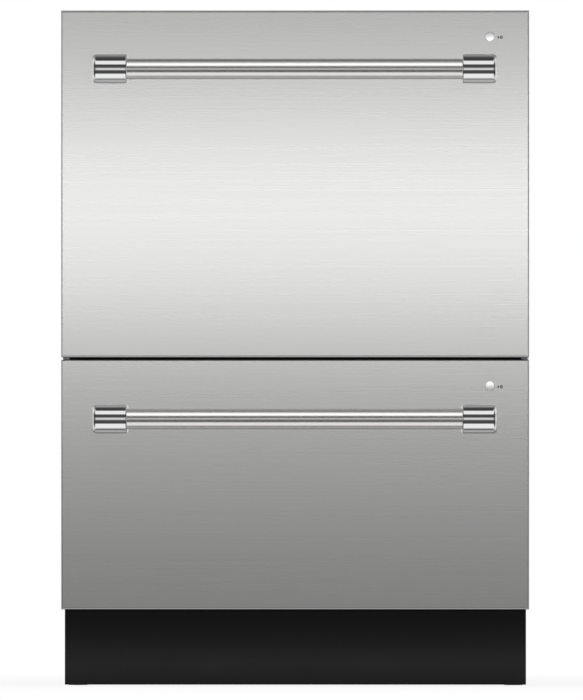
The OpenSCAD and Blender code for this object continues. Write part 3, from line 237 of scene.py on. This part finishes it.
class Finish:
    """A node tree being written: a material's or the world's."""

    def __init__(self, owner):
        owner.use_nodes = True
        self.owner = owner
        self.tree = owner.node_tree
        self.tree.nodes.clear()

    def node(self, kind, settings=None, sockets=None):
        """Adds a node: its settings first, then the values or links of its sockets."""
        made = self.tree.nodes.new(kind)
        for key, value in (settings or {}).items():
            if key == "stops":
                ramp = made.color_ramp
                while len(ramp.elements) < len(value):
                    ramp.elements.new(1.0)
                for element, (place, tone) in zip(ramp.elements, value):
                    element.position = place
                    element.color = (tone, tone, tone, 1)
            else:
                setattr(made, key, value)
        for key, value in (sockets or {}).items():
            if isinstance(value, Value):
                self.tree.links.new(value.socket, made.inputs[key])
            elif isinstance(made.inputs[key].default_value, float):
                made.inputs[key].default_value = value
            else:
                made.inputs[key].default_value = tuple(value)
        return made

    def out(self, made, key=0):
        """One output of a node as a value."""
        return Value(self, made.outputs[key])

    def math(self, operation, *values):
        """A Math node on values or numbers."""
        made = self.node(
            "ShaderNodeMath", {"operation": operation}, dict(enumerate(values))
        )
        return self.out(made)

    def place(self, scale=(1, 1, 1)):
        """Object coordinates, stretched by scale."""
        coordinates = self.node("ShaderNodeTexCoord")
        mapping = self.node(
            "ShaderNodeMapping",
            None,
            {"Vector": self.out(coordinates, "Object"), "Scale": scale},
        )
        return self.out(mapping)

    def noise(self, scale, detail=2.0, roughness=0.5):
        """Fractal noise of object coordinates stretched by scale, about 0.5."""
        made = self.node(
            "ShaderNodeTexNoise",
            None,
            {
                "Vector": self.place(scale),
                "Scale": 1.0,
                "Detail": detail,
                "Roughness": roughness,
            },
        )
        return self.out(made)

    def mix(self, factor, a, b):
        """Colour a where factor is 0 and b where it is 1."""
        made = self.node(
            "ShaderNodeMix", {"data_type": "RGBA"}, {0: factor, 6: rgba(a), 7: rgba(b)}
        )
        return self.out(made, 2)

    def tint(self, mask, tone, low, high):
        """The tone times low where mask is 0, and times high where it is 1."""
        return self.mix(mask, shade(tone, low), shade(tone, high))

    def bump(self, height, distance, strength=1.0):
        """A normal from a height of that depth in metres."""
        sockets = {"Height": height, "Distance": distance, "Strength": strength}
        return self.out(self.node("ShaderNodeBump", None, sockets))

    def ray(self, kind):
        """1 on rays of that kind, and 0 on the others."""
        return self.out(self.node("ShaderNodeLightPath"), f"Is {kind} Ray")

    def seen(self):
        """1 on rays from the camera, also through glass, and 0 on the others."""
        return (self.ray("Camera") + self.ray("Transmission")).clamp()

    def close(self, shader, kind="ShaderNodeOutputMaterial"):
        """Links the shader to the tree's output."""
        output = self.node(kind)
        self.tree.links.new(shader.outputs[0], output.inputs["Surface"])
        return self.owner

    def surface(self, **sockets):
        """The principled shader with these sockets, as the material's surface."""
        named = {key.replace("_", " "): value for key, value in sockets.items()}
        return self.close(self.node("ShaderNodeBsdfPrincipled", None, named))


def rgba(value):
    """A colour with its alpha, or a value as it is."""
    return value if isinstance(value, Value) else (*value, 1.0)


def shade(tone, factor):
    """A colour made lighter or darker."""
    return tuple(min(1.0, max(0.0, channel * factor)) for channel in tone)


def new_finish(name):
    """An empty material of that name."""
    return Finish(bpy.data.materials.new(name))


def new_object(name, data):
    """An object with that data, linked to the scene."""
    made = bpy.data.objects.new(name, data)
    bpy.context.scene.collection.objects.link(made)
    return made


# ---------------------------------------------------------------- finishes


def brushed(name, tone, roughness, along=(1.5, 1400, 1400), depth=0.0000014):
    """Steel brushed in long strokes: noise stretched along the stroke moves the tone,
    the roughness and the normal."""
    f = new_finish(name)
    fine = f.noise(along, 3.0, 0.6)
    broad = f.noise(tuple(a / 3 for a in along), 2.0, 0.5)
    stroke = fine * 0.7 + broad * 0.3
    return f.surface(
        Base_Color=f.tint(stroke, tone, 0.97, 1.03),
        Metallic=1.0,
        Roughness=(stroke - 0.5) * 0.06 + roughness,
        Normal=f.bump(stroke, depth),
    )


def polished(name, tone, roughness):
    """Mirror polish with the faint haze that wiping leaves."""
    f = new_finish(name)
    haze = f.noise((26, 60, 60), 3.0, 0.6)
    return f.surface(
        Base_Color=f.tint(haze, tone, 0.985, 1.01),
        Metallic=1.0,
        Roughness=(haze - 0.4).clamp() * 0.05 + roughness,
    )


def galvanised(name, tone):
    """Zinc sheet: Voronoi cells are the spangles, each with its tone and roughness."""
    f = new_finish(name)
    cells = f.node("ShaderNodeTexVoronoi", None, {"Vector": f.place(), "Scale": 70.0})
    spangle = f.out(
        f.node("ShaderNodeSeparateColor", None, {"Color": f.out(cells, "Color")})
    )
    cloud = f.noise((9, 9, 9), 4.0, 0.6)
    mask = spangle * 0.6 + cloud * 0.4
    return f.surface(
        Base_Color=f.tint(mask, tone, 0.86, 1.12),
        Metallic=0.9,
        Roughness=0.5 - mask * 0.16,
        Normal=f.bump(cloud, 0.0002, 0.3),
    )


def plated(name, tone):
    """Bright zinc plating on pressed steel, with faint rolling marks."""
    f = new_finish(name)
    rolled = f.noise((400, 12, 400), 3.0, 0.6)
    cloud = f.noise((30, 30, 30), 3.0, 0.5)
    return f.surface(
        Base_Color=f.tint(cloud, tone, 0.9, 1.08),
        Metallic=1.0,
        Roughness=rolled * 0.14 + 0.24,
        Normal=f.bump(rolled, 0.00002),
    )


def painted(name, tone, roughness, gloss=0.4):
    """Satin paint with its orange peel; gloss is the level of its highlights."""
    f = new_finish(name)
    peel = f.noise((420, 420, 420), 2.0, 0.5)
    dust = f.noise((14, 14, 40), 4.0, 0.65)
    return f.surface(
        Base_Color=f.tint(dust, tone, 0.8, 1.25),
        Roughness=(dust - 0.5) * 0.2 + roughness,
        Specular_IOR_Level=gloss,
        Normal=f.bump(peel, 0.00004, 0.5),
    )


def moulded(name, tone, roughness):
    """Moulded plastic: fine spark grain, and a slow drift of tone from the flow in the
    mould."""
    f = new_finish(name)
    fine = f.noise((1300, 1300, 1300), 2.0, 0.6)
    flow = f.noise((7, 7, 7), 3.0, 0.55)
    return f.surface(
        Base_Color=f.tint(flow * 0.7 + fine * 0.3, tone, 0.92, 1.07),
        Roughness=(fine - 0.5) * 0.14 + roughness,
        Normal=f.bump(fine, 0.00003, 0.6),
    )


def gloss_glass(name, tone):
    """Black touch strip with the faint smears of fingers."""
    f = new_finish(name)
    smear = f.noise((60, 90, 60), 4.0, 0.7)
    return f.surface(
        Base_Color=f.tint(smear, tone, 0.8, 1.4),
        Roughness=(smear - 0.45).clamp() * 0.3 + 0.06,
        Coat_Weight=0.6,
    )


def coated(name, tone):
    """Nylon coating on wire: smooth, with a slight pull and paler rubbed patches."""
    f = new_finish(name)
    pull = f.noise((240, 240, 240), 2.0, 0.5)
    rub = f.noise((34, 34, 34), 4.0, 0.7).smooth(0.58, 0.74)
    return f.surface(
        Base_Color=f.tint(rub, tone, 1, 1.3),
        Roughness=pull * 0.12 + rub * 0.12 + 0.28,
        Normal=f.bump(pull, 0.00012, 0.4),
    )


def rubber(name, tone):
    """Soft seal rubber with talc left in its pores."""
    f = new_finish(name)
    pores = f.noise((900, 900, 900), 3.0, 0.7)
    talc = f.noise((22, 22, 22), 4.0, 0.65)
    return f.surface(
        Base_Color=f.tint(talc, tone, 0.85, 1.6),
        Roughness=pores * 0.2 + 0.6,
        Normal=f.bump(pores, 0.00008, 0.6),
    )


def printed(name, tone):
    """Screen printed ink with a faint grain."""
    f = new_finish(name)
    grain = f.noise((2600, 2600, 2600), 2.0, 0.5)
    return f.surface(Base_Color=f.tint(grain, tone, 0.8, 1.3), Roughness=0.45)


def make_finishes(s):
    """One material for each finish, by its slot in the record."""
    return {
        "brushed_steel": brushed("brushed_steel", s.front_steel, 0.28),
        "polished_steel": polished("polished_steel", s.sleeve_steel, 0.07),
        "satin_steel": brushed(
            "satin_steel", s.bar_steel, 0.26, (900, 60, 60), 0.000004
        ),
        "button_steel": polished("button_steel", s.button_steel, 0.27),
        "galvanised": galvanised("galvanised", s.zinc),
        "zinc_steel": plated("zinc_steel", s.plating),
        "black_steel": painted("black_steel", s.black_paint, 0.42, 0.25),
        "black_plastic": moulded("black_plastic", s.black_plastic, 0.5),
        "gloss_black": gloss_glass("gloss_black", s.touch_glass),
        "tub_plastic": moulded("tub_plastic", s.tub_grey, 0.42),
        "lid_plastic": moulded("lid_plastic", s.lid_grey, 0.45),
        "white_plastic": moulded("white_plastic", s.white_plastic, 0.4),
        "grey_plastic": moulded("grey_plastic", s.grey_plastic, 0.45),
        "coated_wire": coated("coated_wire", s.wire_grey),
        "seal_rubber": rubber("seal_rubber", s.seal_black),
        "motor_case": painted("motor_case", s.motor_paint, 0.5),
        "ink": printed("ink", s.ink),
        "pale_ink": printed("pale_ink", s.pale_ink),
    }


# ---------------------------------------------------------------- surfaces


# Points of a mesh closer than MERGE become one, and edges shorter than THIN go
MERGE, THIN = 2e-6, 1e-6

# Power by which the height of a pillow falls towards its edges
PILLOW_FALL = 8


def grid_faces(rows, columns, start):
    """Quads of one grid of points, numbered row by row from start."""
    first = np.arange(rows - 1)[:, None] * columns + np.arange(columns - 1)[None, :]
    first = first.reshape(-1, 1) + start
    return first + np.array([[0, 1, columns + 1, columns]])


def add_piece(name, sheets, material, body, smooth=True):
    """One object from grids of points: their edges that meet are merged, and their
    normals recalculated."""
    points, faces, start = [], [], 0
    for sheet in sheets:
        rows, columns = sheet.shape[:2]
        points.append(sheet.reshape(-1, 3))
        faces.append(grid_faces(rows, columns, start))
        start += rows * columns
    points, faces = np.concatenate(points), np.concatenate(faces)
    mesh = bpy.data.meshes.new(name)
    mesh.vertices.add(len(points))
    mesh.vertices.foreach_set("co", points.ravel())
    mesh.loops.add(faces.size)
    mesh.loops.foreach_set("vertex_index", faces.ravel().astype(np.int32))
    mesh.polygons.add(len(faces))
    mesh.polygons.foreach_set("loop_start", np.arange(0, faces.size, 4, dtype=np.int32))
    mesh.update(calc_edges=True)
    work = bmesh.new()
    work.from_mesh(mesh)
    bmesh.ops.remove_doubles(work, verts=work.verts, dist=MERGE)
    bmesh.ops.dissolve_degenerate(work, edges=work.edges, dist=THIN)
    bmesh.ops.recalc_face_normals(work, faces=work.faces)
    work.to_mesh(mesh)
    work.free()
    mesh.polygons.foreach_set("use_smooth", np.full(len(mesh.polygons), smooth))
    mesh.materials.append(material)
    piece = new_object(name, mesh)
    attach(piece, body)
    return piece


def turned(profile, centre, axis, steps):
    """A profile of (radius, height) turned about an axis through centre: radius times
    the cosine and sine of the angle across the axis, height along it."""
    profile = np.asarray(profile, float)
    axis = np.asarray(axis, float)
    across = np.array([0, 0, 1.0]) if abs(axis[2]) < 0.5 else np.array([1.0, 0, 0])
    other = np.cross(axis, across)
    angle = np.linspace(0, 2 * math.pi, steps + 1)
    ray = np.cos(angle)[:, None] * across + np.sin(angle)[:, None] * other
    return (
        np.asarray(centre, float)
        + profile[:, None, 1:] * axis
        + profile[:, None, :1] * ray[None, :, :]
    )


def pillow(corner, along, up, out, steps):
    """A low pillow on a patch that corner(u, v) maps to a plane: height out times one
    minus each parameter's distance from the middle to the power PILLOW_FALL, closed by
    a flat back."""
    u, v = np.meshgrid(
        np.linspace(-1, 1, steps), np.linspace(-1, 1, steps), indexing="ij"
    )
    a, b = corner(u, v)
    rise = (1 - np.abs(u) ** PILLOW_FALL) * (1 - np.abs(v) ** PILLOW_FALL)
    along, up, out = (np.asarray(way, float) for way in (along, up, out))
    flat = a[..., None] * along + b[..., None] * up
    return [flat + rise[..., None] * out, flat]


def strokes(sign, middle, along, up, out, steps):
    """A pillow for each stroke of a sign about its middle."""
    return [
        sheet + middle
        for corner in sign
        for sheet in pillow(corner, along, up, out, steps)
    ]


def bar(a, b, wide):
    """Corner function of a straight bar from a to b: its middle, plus u half lengths
    along it and v half widths across it."""
    a, b = np.array(a, float), np.array(b, float)
    middle, half = (a + b) / 2, (b - a) / 2
    side = np.array([-half[1], half[0]]) / np.hypot(*half) * wide / 2
    return lambda u, v: tuple(middle[i] + u * half[i] + v * side[i] for i in (0, 1))


def arc(centre, radius, start, end, wide):
    """Corner function of an arc: its centre, plus the radius and v half widths times
    the cosine and sine of an angle that u sweeps from start to end, in degrees."""

    def corner(u, v):
        angle = np.radians((start + end) / 2 + u * (end - start) / 2)
        reach = radius + v * wide / 2
        return centre[0] + reach * np.cos(angle), centre[1] + reach * np.sin(angle)

    return corner


def drop(u, v):
    """Corner function of a drop: a disc whose upper half narrows to a point."""
    half = np.sqrt(1 - v**2) * (0.62 - 0.38 * v)
    return u * half, v * 0.9 + 0.05


def triangle(u, v):
    """Corner function of a triangle: its height narrows to a point as u grows."""
    return 0.62 * u + 0.05, v * (1 - u) / 2


# Start and pause sign, in half heights: a triangle and two bars
START_SIGN = (
    triangle,
    bar((1.45, -1), (1.45, 1), 0.6),
    bar((2.25, -1), (2.25, 1), 0.6),
)

# Signs of the five touch keys, in half heights: power, clock, lock, drop, turning arrow
KEY_SIGNS = (
    (arc((0, 0), 0.78, 125, 415, 0.2), bar((0, 0.2), (0, 1), 0.2)),
    (
        arc((0, 0), 0.85, 0, 180, 0.18),
        arc((0, 0), 0.85, 180, 360, 0.18),
        bar((0, -0.08), (0, 0.55), 0.17),
        bar((0, 0), (0.42, -0.2), 0.17),
    ),
    (bar((0, -0.85), (0, 0.1), 1.3), arc((0, 0.2), 0.4, -10, 190, 0.18)),
    (drop,),
    (
        arc((0, 0), 0.75, 30, 320, 0.2),
        bar((0.1, -0.42), (0.75, -0.42), 0.2),
        bar((0.65, -1), (0.65, -0.35), 0.2),
    ),
)


# Profile of a tine's bead in its radii: a round nose, and a skirt that closes in
BEAD = (
    *((0, 0.55), (0.45, 0.5), (0.8, 0.28), (1, -0.15)),
    *((1, -0.6), (0.62, -1.3), (0, -1.3)),
)

# Points this near the top of a row belong to the tips of its tines
TIP_DEPTH = 1e-4

# Profile of a screw's domed head with its socket, in its radii and heights
SCREW_HEAD = ((0, 0.35), (0.3, 0.35), (0.34, 0.95), (0.62, 0.9), (0.9, 0.55), (1, 0.2))


# ---------------------------------------------------------------- operators


def finish(name):
    """The material of that name."""
    made = bpy.data.materials.get(name)
    if made is None:
        raise RuntimeError(f"the finish {name} has to be made first")
    return made


class DISHWASHER_OT_finishes(bpy.types.Operator):
    """Makes the finishes and puts them on the CAD nodes by their slots"""

    bl_idname = "dishwasher.finishes"
    bl_label = "Finishes"

    def execute(self, context):
        made = make_finishes(context.scene.dishwasher_finish)
        for part in frame["record"]["subparts"]:
            node = frame["nodes"][part["node"]]
            node.data.materials.clear()
            button = part["node"].endswith("_start_button")
            node.data.materials.append(
                made["button_steel" if button else part["material_slot"]]
            )
        return {"FINISHED"}


class DISHWASHER_OT_start_signs(bpy.types.Operator):
    """Prints the small start and pause sign beside each start button"""

    bl_idname = "dishwasher.start_signs"
    bl_label = "Start signs"

    def execute(self, context):
        t = context.scene.dishwasher_trim
        half = t.sign_height / 2
        for drawer in DRAWERS:
            low, high = box_of(f"{drawer}_start_button")
            x, _, z = (low + high) / 2
            middle = (x + t.sign_gap, FACE_Y - t.ink_gap, z - t.sign_drop)
            ways = (half, 0, 0), (0, 0, half), (0, -t.ink_height, 0)
            sheets = strokes(START_SIGN, middle, *ways, steps=9)
            add_piece(
                f"{drawer}_start_sign",
                sheets,
                finish("ink"),
                f"{drawer}_drawer",
                smooth=False,
            )
        return {"FINISHED"}


class DISHWASHER_OT_key_signs(bpy.types.Operator):
    """Prints the signs of the five touch keys in the top edge of each front"""

    bl_idname = "dishwasher.key_signs"
    bl_label = "Key signs"

    def execute(self, context):
        t = context.scene.dishwasher_trim
        half = t.key_sign / 2
        ways = (half, 0, 0), (0, half, 0), (0, 0, t.ink_height)
        for drawer in DRAWERS:
            low, high = box_of(f"{drawer}_control_strip")
            y = (low[1] + high[1]) / 2
            z = high[2] - t.key_depth + t.ink_gap
            sheets = []
            for place, sign in enumerate(KEY_SIGNS):
                x = high[0] - t.key_margin - place * t.key_pitch
                sheets += strokes(sign, (x, y, z), *ways, steps=17)
            add_piece(
                f"{drawer}_key_signs",
                sheets,
                finish("pale_ink"),
                f"{drawer}_drawer",
                smooth=False,
            )
        return {"FINISHED"}


class DISHWASHER_OT_tine_beads(bpy.types.Operator):
    """Puts the bead of dipped coating on the tip of every tine"""

    bl_idname = "dishwasher.tine_beads"
    bl_label = "Tine beads"

    def execute(self, context):
        t = context.scene.dishwasher_trim
        bead = np.array(BEAD) * t.bead_radius
        for drawer in DRAWERS:
            node = f"{drawer}_fold_tines"
            low, high = box_of(node)
            pitch = high[2] - low[2] - t.tine_rod + t.row_gap
            across, deep = tine_tips(frame["nodes"][node].data, high[2], 2 * t.tine_rod)
            # body, piece, place of each row beside the folding one, and how much lower
            rows = (
                (f"{drawer}_drawer", "tine_beads", (-2, -1, 1), t.fold_lift),
                (node, "fold_beads", (0,), 0),
            )
            for body, name, places, lower in rows:
                tips = [
                    (x, deep + place * pitch, high[2] - lower)
                    for place in places
                    for x in across
                ]
                sheets = [turned(bead, tip, (0, 0, 1), t.bead_steps) for tip in tips]
                wire = finish("coated_wire")
                add_piece(f"{drawer}_{name}", sheets, wire, body)
        return {"FINISHED"}


def tine_tips(mesh, top, apart):
    """Where the tines of a row end: each one's middle along X, and the row's along Y.
    Points near the top, further apart along X than apart, are of different tines."""
    points = np.empty(len(mesh.vertices) * 3, np.float32)
    mesh.vertices.foreach_get("co", points)
    points = points.reshape(-1, 3).astype(float)
    tips = points[points[:, 2] > top - TIP_DEPTH]
    order = np.sort(tips[:, 0])
    groups = np.split(order, np.flatnonzero(np.diff(order) > apart) + 1)
    across = [float((g[0] + g[-1]) / 2) for g in groups]
    return across, (tips[:, 1].min() + tips[:, 1].max()) / 2


class DISHWASHER_OT_sheet_screws(bpy.types.Operator):
    """Sets the sheet screws on the back, sides and straps of the chassis"""

    bl_idname = "dishwasher.sheet_screws"
    bl_label = "Sheet screws"

    def execute(self, context):
        t = context.scene.dishwasher_trim
        r, sink = t.screw_radius, -t.screw_sink
        head = [(r * a, t.screw_height * b) for a, b in SCREW_HEAD]
        head += [(r, sink), (0, sink)]
        low, high = box_of("chassis_sides")
        back = box_of("rear_panel")[1][1]
        roof = box_of("fixing_brackets")
        heights = np.linspace(
            low[2] + t.lowest_screw, high[2] - t.highest_screw, t.screw_rows
        )
        # place and axis of each screw
        screws = []
        for side in (-1, 1):
            for z in heights:
                screws += [
                    ((side * (high[0] - t.back_inset), back, z), (0, 1, 0)),
                    ((side * high[0], high[1] - t.side_inset, z), (side, 0, 0)),
                ]
            for y in (t.strap_start, t.strap_start + t.strap_pitch):
                x = side * (roof[1][0] - t.strap_inset)
                screws.append(((x, roof[0][1] + y, roof[1][2]), (0, 0, 1)))
        sheets = [turned(head, place, axis, t.round_steps) for place, axis in screws]
        add_piece("sheet_screws", sheets, finish("zinc_steel"), "chassis")
        return {"FINISHED"}


class DISHWASHER_OT_stage(bpy.types.Operator):
    """Lays the floor, lights the studio and sets the camera"""

    bl_idname = "dishwasher.stage"
    bl_label = "Stage"

    def execute(self, context):
        s = context.scene.dishwasher_studio
        lay_floor(s)
        light_world(s)
        hang_lamps(s)
        set_camera(s)
        context.scene.view_settings.view_transform = "Standard"
        return {"FINISHED"}


# Distances from the part's middle over which the floor turns plain white
SHADOW_EDGE = (0.3, 1.2)


def lay_floor(s):
    """Pale floor: plain white further out, and near the part matt enough to take its
    shadow."""
    edge = np.linspace(-s.floor_reach, s.floor_reach, 3)
    x, y = np.meshgrid(edge, edge, indexing="ij")
    points = np.stack([x, y, np.zeros_like(x)], -1).reshape(-1, 3)
    mesh = bpy.data.meshes.new("floor")
    mesh.from_pydata(
        points.tolist(), [], [q[::-1] for q in grid_faces(3, 3, 0).tolist()]
    )
    floor = new_object("floor", mesh)
    floor.visible_glossy = False
    f = new_finish("floor")
    size = f.node("ShaderNodeVectorMath", {"operation": "LENGTH"}, {0: f.place()})
    away = f.out(size, "Value").smooth(*SHADOW_EDGE)
    white = f.seen() * (away * (1 - s.floor_white) + s.floor_white)
    matt = f.node("ShaderNodeBsdfDiffuse", None, {"Color": (*s.floor_colour, 1)})
    glow = f.node("ShaderNodeEmission", None, {"Color": (1, 1, 1, 1), "Strength": 1.0})
    both = f.node(
        "ShaderNodeMixShader", None, {0: white, 1: f.out(matt), 2: f.out(glow)}
    )
    floor.data.materials.append(f.close(both))


# Tone that a mirror meets by its angle in degrees above the horizon, in front of the
# part and behind it
AHEAD = (
    *((-90, 0.16), (-84, 0.4), (-76, 0.95), (-42, 0.95), (-36, 0.07), (-14, 0.07)),
    *((-8, 0.3), (-4, 0.4), (4, 0.4), (8, 0.3), (14, 0.07), (34, 0.07)),
    *((40, 0.95), (64, 0.95), (72, 0.05), (90, 0.05)),
)
BEHIND = (
    *((-90, 0.14), (-62, 0.16), (-40, 0.8), (30, 0.95)),
    *((50, 0.3), (70, 0.1), (90, 0.05)),
)

# Share of the way to the back over which the one tone turns into the other
FRONT_TO_BACK = (-0.15, 0.2)

# Dark flags at both sides in front of the part: their tone, how much they cover, and
# the sine of the angle to the side over which their near and far edges fade
FLAG_TONE, FLAG_COVER = 0.05, 0.85
FLAG_NEAR, FLAG_FAR = (0.42, 0.55), (0.85, 0.95)


def light_world(s):
    """White to the camera, an even light on matt surfaces, and soft boxes and flags for
    mirrors."""
    world = bpy.data.worlds.new("studio")
    bpy.context.scene.world = world
    f = Finish(world)
    direction = f.node("ShaderNodeTexCoord")
    parts = f.node(
        "ShaderNodeSeparateXYZ", None, {"Vector": f.out(direction, "Generated")}
    )
    height = f.math("ARCSINE", f.out(parts, "Z").clamp(-1, 1)) / math.pi + 0.5
    tones = [
        f.out(
            f.node(
                "ShaderNodeValToRGB",
                {"stops": [((a + 90) / 180, tone) for a, tone in stops]},
                {"Fac": height},
            )
        )
        for stops in (AHEAD, BEHIND)
    ]
    behind = f.out(parts, "Y").smooth(*FRONT_TO_BACK)
    side = abs(f.out(parts, "X"))
    flag = side.smooth(*FLAG_NEAR) * (1 - side.smooth(*FLAG_FAR)) * (1 - behind)
    boxes = f.mix(behind, *tones)
    mirror = f.mix(flag * FLAG_COVER, boxes, (FLAG_TONE,) * 3)
    matt = f.mix(f.seen(), (s.ambient,) * 3, (1, 1, 1))
    tone = f.mix(f.ray("Glossy"), matt, mirror)
    glow = f.node("ShaderNodeBackground", None, {"Color": tone, "Strength": 1.0})
    f.close(glow, "ShaderNodeOutputWorld")


# Strip lights before the fronts: their width, and the height of each with its radiance
# as a share of the brightest one's
STRIP_WIDTH = 3.4
STRIPS = ((0.28, 0.14), (0.54, 0.8), (0.67, 1.0), (0.93, 0.31))


def hang_lamps(s):
    """Rectangular lamps: power is radiance times pi times area. All but the last each
    light a few pieces alone, as flags would do in a studio, and the last lights
    everything."""

    def pieces(*parts):
        nodes = frame["nodes"]
        return [nodes[f"{drawer}_{part}"] for drawer in DRAWERS for part in parts]

    handles = pieces("handle_bar", "handle_ends")
    fronts = pieces("front_skin", "start_button")
    strip_y = FACE_Y - s.strip_distance
    kick_y = float(box_of("kick_panel")[0][1])
    # name, place, aim, width and height, radiance, what it lights
    lamps = [
        (
            f"strip_{number}",
            (0, strip_y, height),
            (0, FACE_Y, height),
            (STRIP_WIDTH, s.strip_size),
            s.strip_glow * share,
            fronts,
        )
        for number, (height, share) in enumerate(STRIPS)
    ]
    lamps += [
        ("line", (0, -6.3, 0.56), (0, 0, 0.56), (3.0, 1.5), s.line_glow, handles),
        (
            "canopy",
            (0, FACE_Y - 1.95, 3.0),
            (0, FACE_Y - 1.95, 0),
            (3.0, 4.1),
            s.canopy_glow,
            pieces("handle_bar"),
        ),
        (
            "low",
            (0, kick_y - 0.08, 0.026),
            (0, kick_y, 0.026),
            (1.4, 0.03),
            s.low_glow,
            [frame["nodes"]["kick_panel"]],
        ),
        ("overhead", (0, -0.6, 3.2), (0, 0, 0.4), (2.6, 2.0), s.overhead_glow, None),
    ]
    for name, place, aim, (wide, high), radiance, lit in lamps:
        lamp = bpy.data.lights.new(name, "AREA")
        lamp.shape = "RECTANGLE"
        lamp.size, lamp.size_y = wide, high
        lamp.energy = radiance * math.pi * wide * high
        holder = new_object(name, lamp)
        holder.location = place
        sight = np.array(aim, float) - np.array(place, float)
        pitch = math.atan2(math.hypot(sight[0], sight[1]), -sight[2])
        turn = math.atan2(-sight[0], sight[1])
        holder.rotation_euler = (pitch, 0, turn)
        holder.visible_camera = False
        if lit is None:
            holder.visible_glossy = False
            continue
        for purpose in ("receiver", "blocker"):
            chosen = bpy.data.collections.new(f"{name}_{purpose}")
            for node in lit:
                chosen.objects.link(node)
            setattr(holder.light_linking, f"{purpose}_collection", chosen)
    for node in handles:
        node.visible_glossy = False


# The camera's sensor in millimetres, and how far it sees in metres
SENSOR, SIGHT = 36, 100


def set_camera(s):
    """Long lens at the fronts: the long side of the sensor spans the view's height."""
    camera = bpy.data.cameras.new("camera")
    camera.sensor_width = SENSOR
    camera.lens = SENSOR * s.camera_distance / s.view_height
    camera.clip_end = SIGHT
    holder = new_object("camera", camera)
    holder.location = (
        s.camera_side + s.camera_distance * math.sin(s.camera_turn),
        FACE_Y - s.camera_distance * math.cos(s.camera_turn),
        s.camera_height,
    )
    holder.rotation_euler = (math.pi / 2, 0, s.camera_turn)
    bpy.context.scene.camera = holder


STEPS = ("finishes", "start_signs", "key_signs", "tine_beads", "sheet_screws", "stage")


class DISHWASHER_PT_panel(bpy.types.Panel):
    """Lists the steps that dress the dishwasher"""

    bl_idname = "DISHWASHER_PT_panel"
    bl_label = "Dishwasher"
    bl_space_type = "VIEW_3D"
    bl_region_type = "UI"
    bl_category = "Dishwasher"

    def draw(self, context):
        for step in STEPS:
            self.layout.operator(f"dishwasher.{step}")


CLASSES = (
    StudioSettings,
    FinishSettings,
    TrimSettings,
    DISHWASHER_OT_finishes,
    DISHWASHER_OT_start_signs,
    DISHWASHER_OT_key_signs,
    DISHWASHER_OT_tine_beads,
    DISHWASHER_OT_sheet_screws,
    DISHWASHER_OT_stage,
    DISHWASHER_PT_panel,
)
GROUPS = {
    "dishwasher_studio": StudioSettings,
    "dishwasher_finish": FinishSettings,
    "dishwasher_trim": TrimSettings,
}


def register():
    """Makes the classes and the scene's settings known to Blender."""
    for made in CLASSES:
        bpy.utils.register_class(made)
    for name, group in GROUPS.items():
        setattr(bpy.types.Scene, name, PointerProperty(type=group))


def unregister():
    """Takes the settings and the classes out again."""
    for name in GROUPS:
        delattr(bpy.types.Scene, name)
    for made in reversed(CLASSES):
        bpy.utils.unregister_class(made)


def main():
    """Runs every step in order."""
    register()
    for step in STEPS:
        getattr(bpy.ops.dishwasher, step)()


if __name__ == "__main__":
    main()
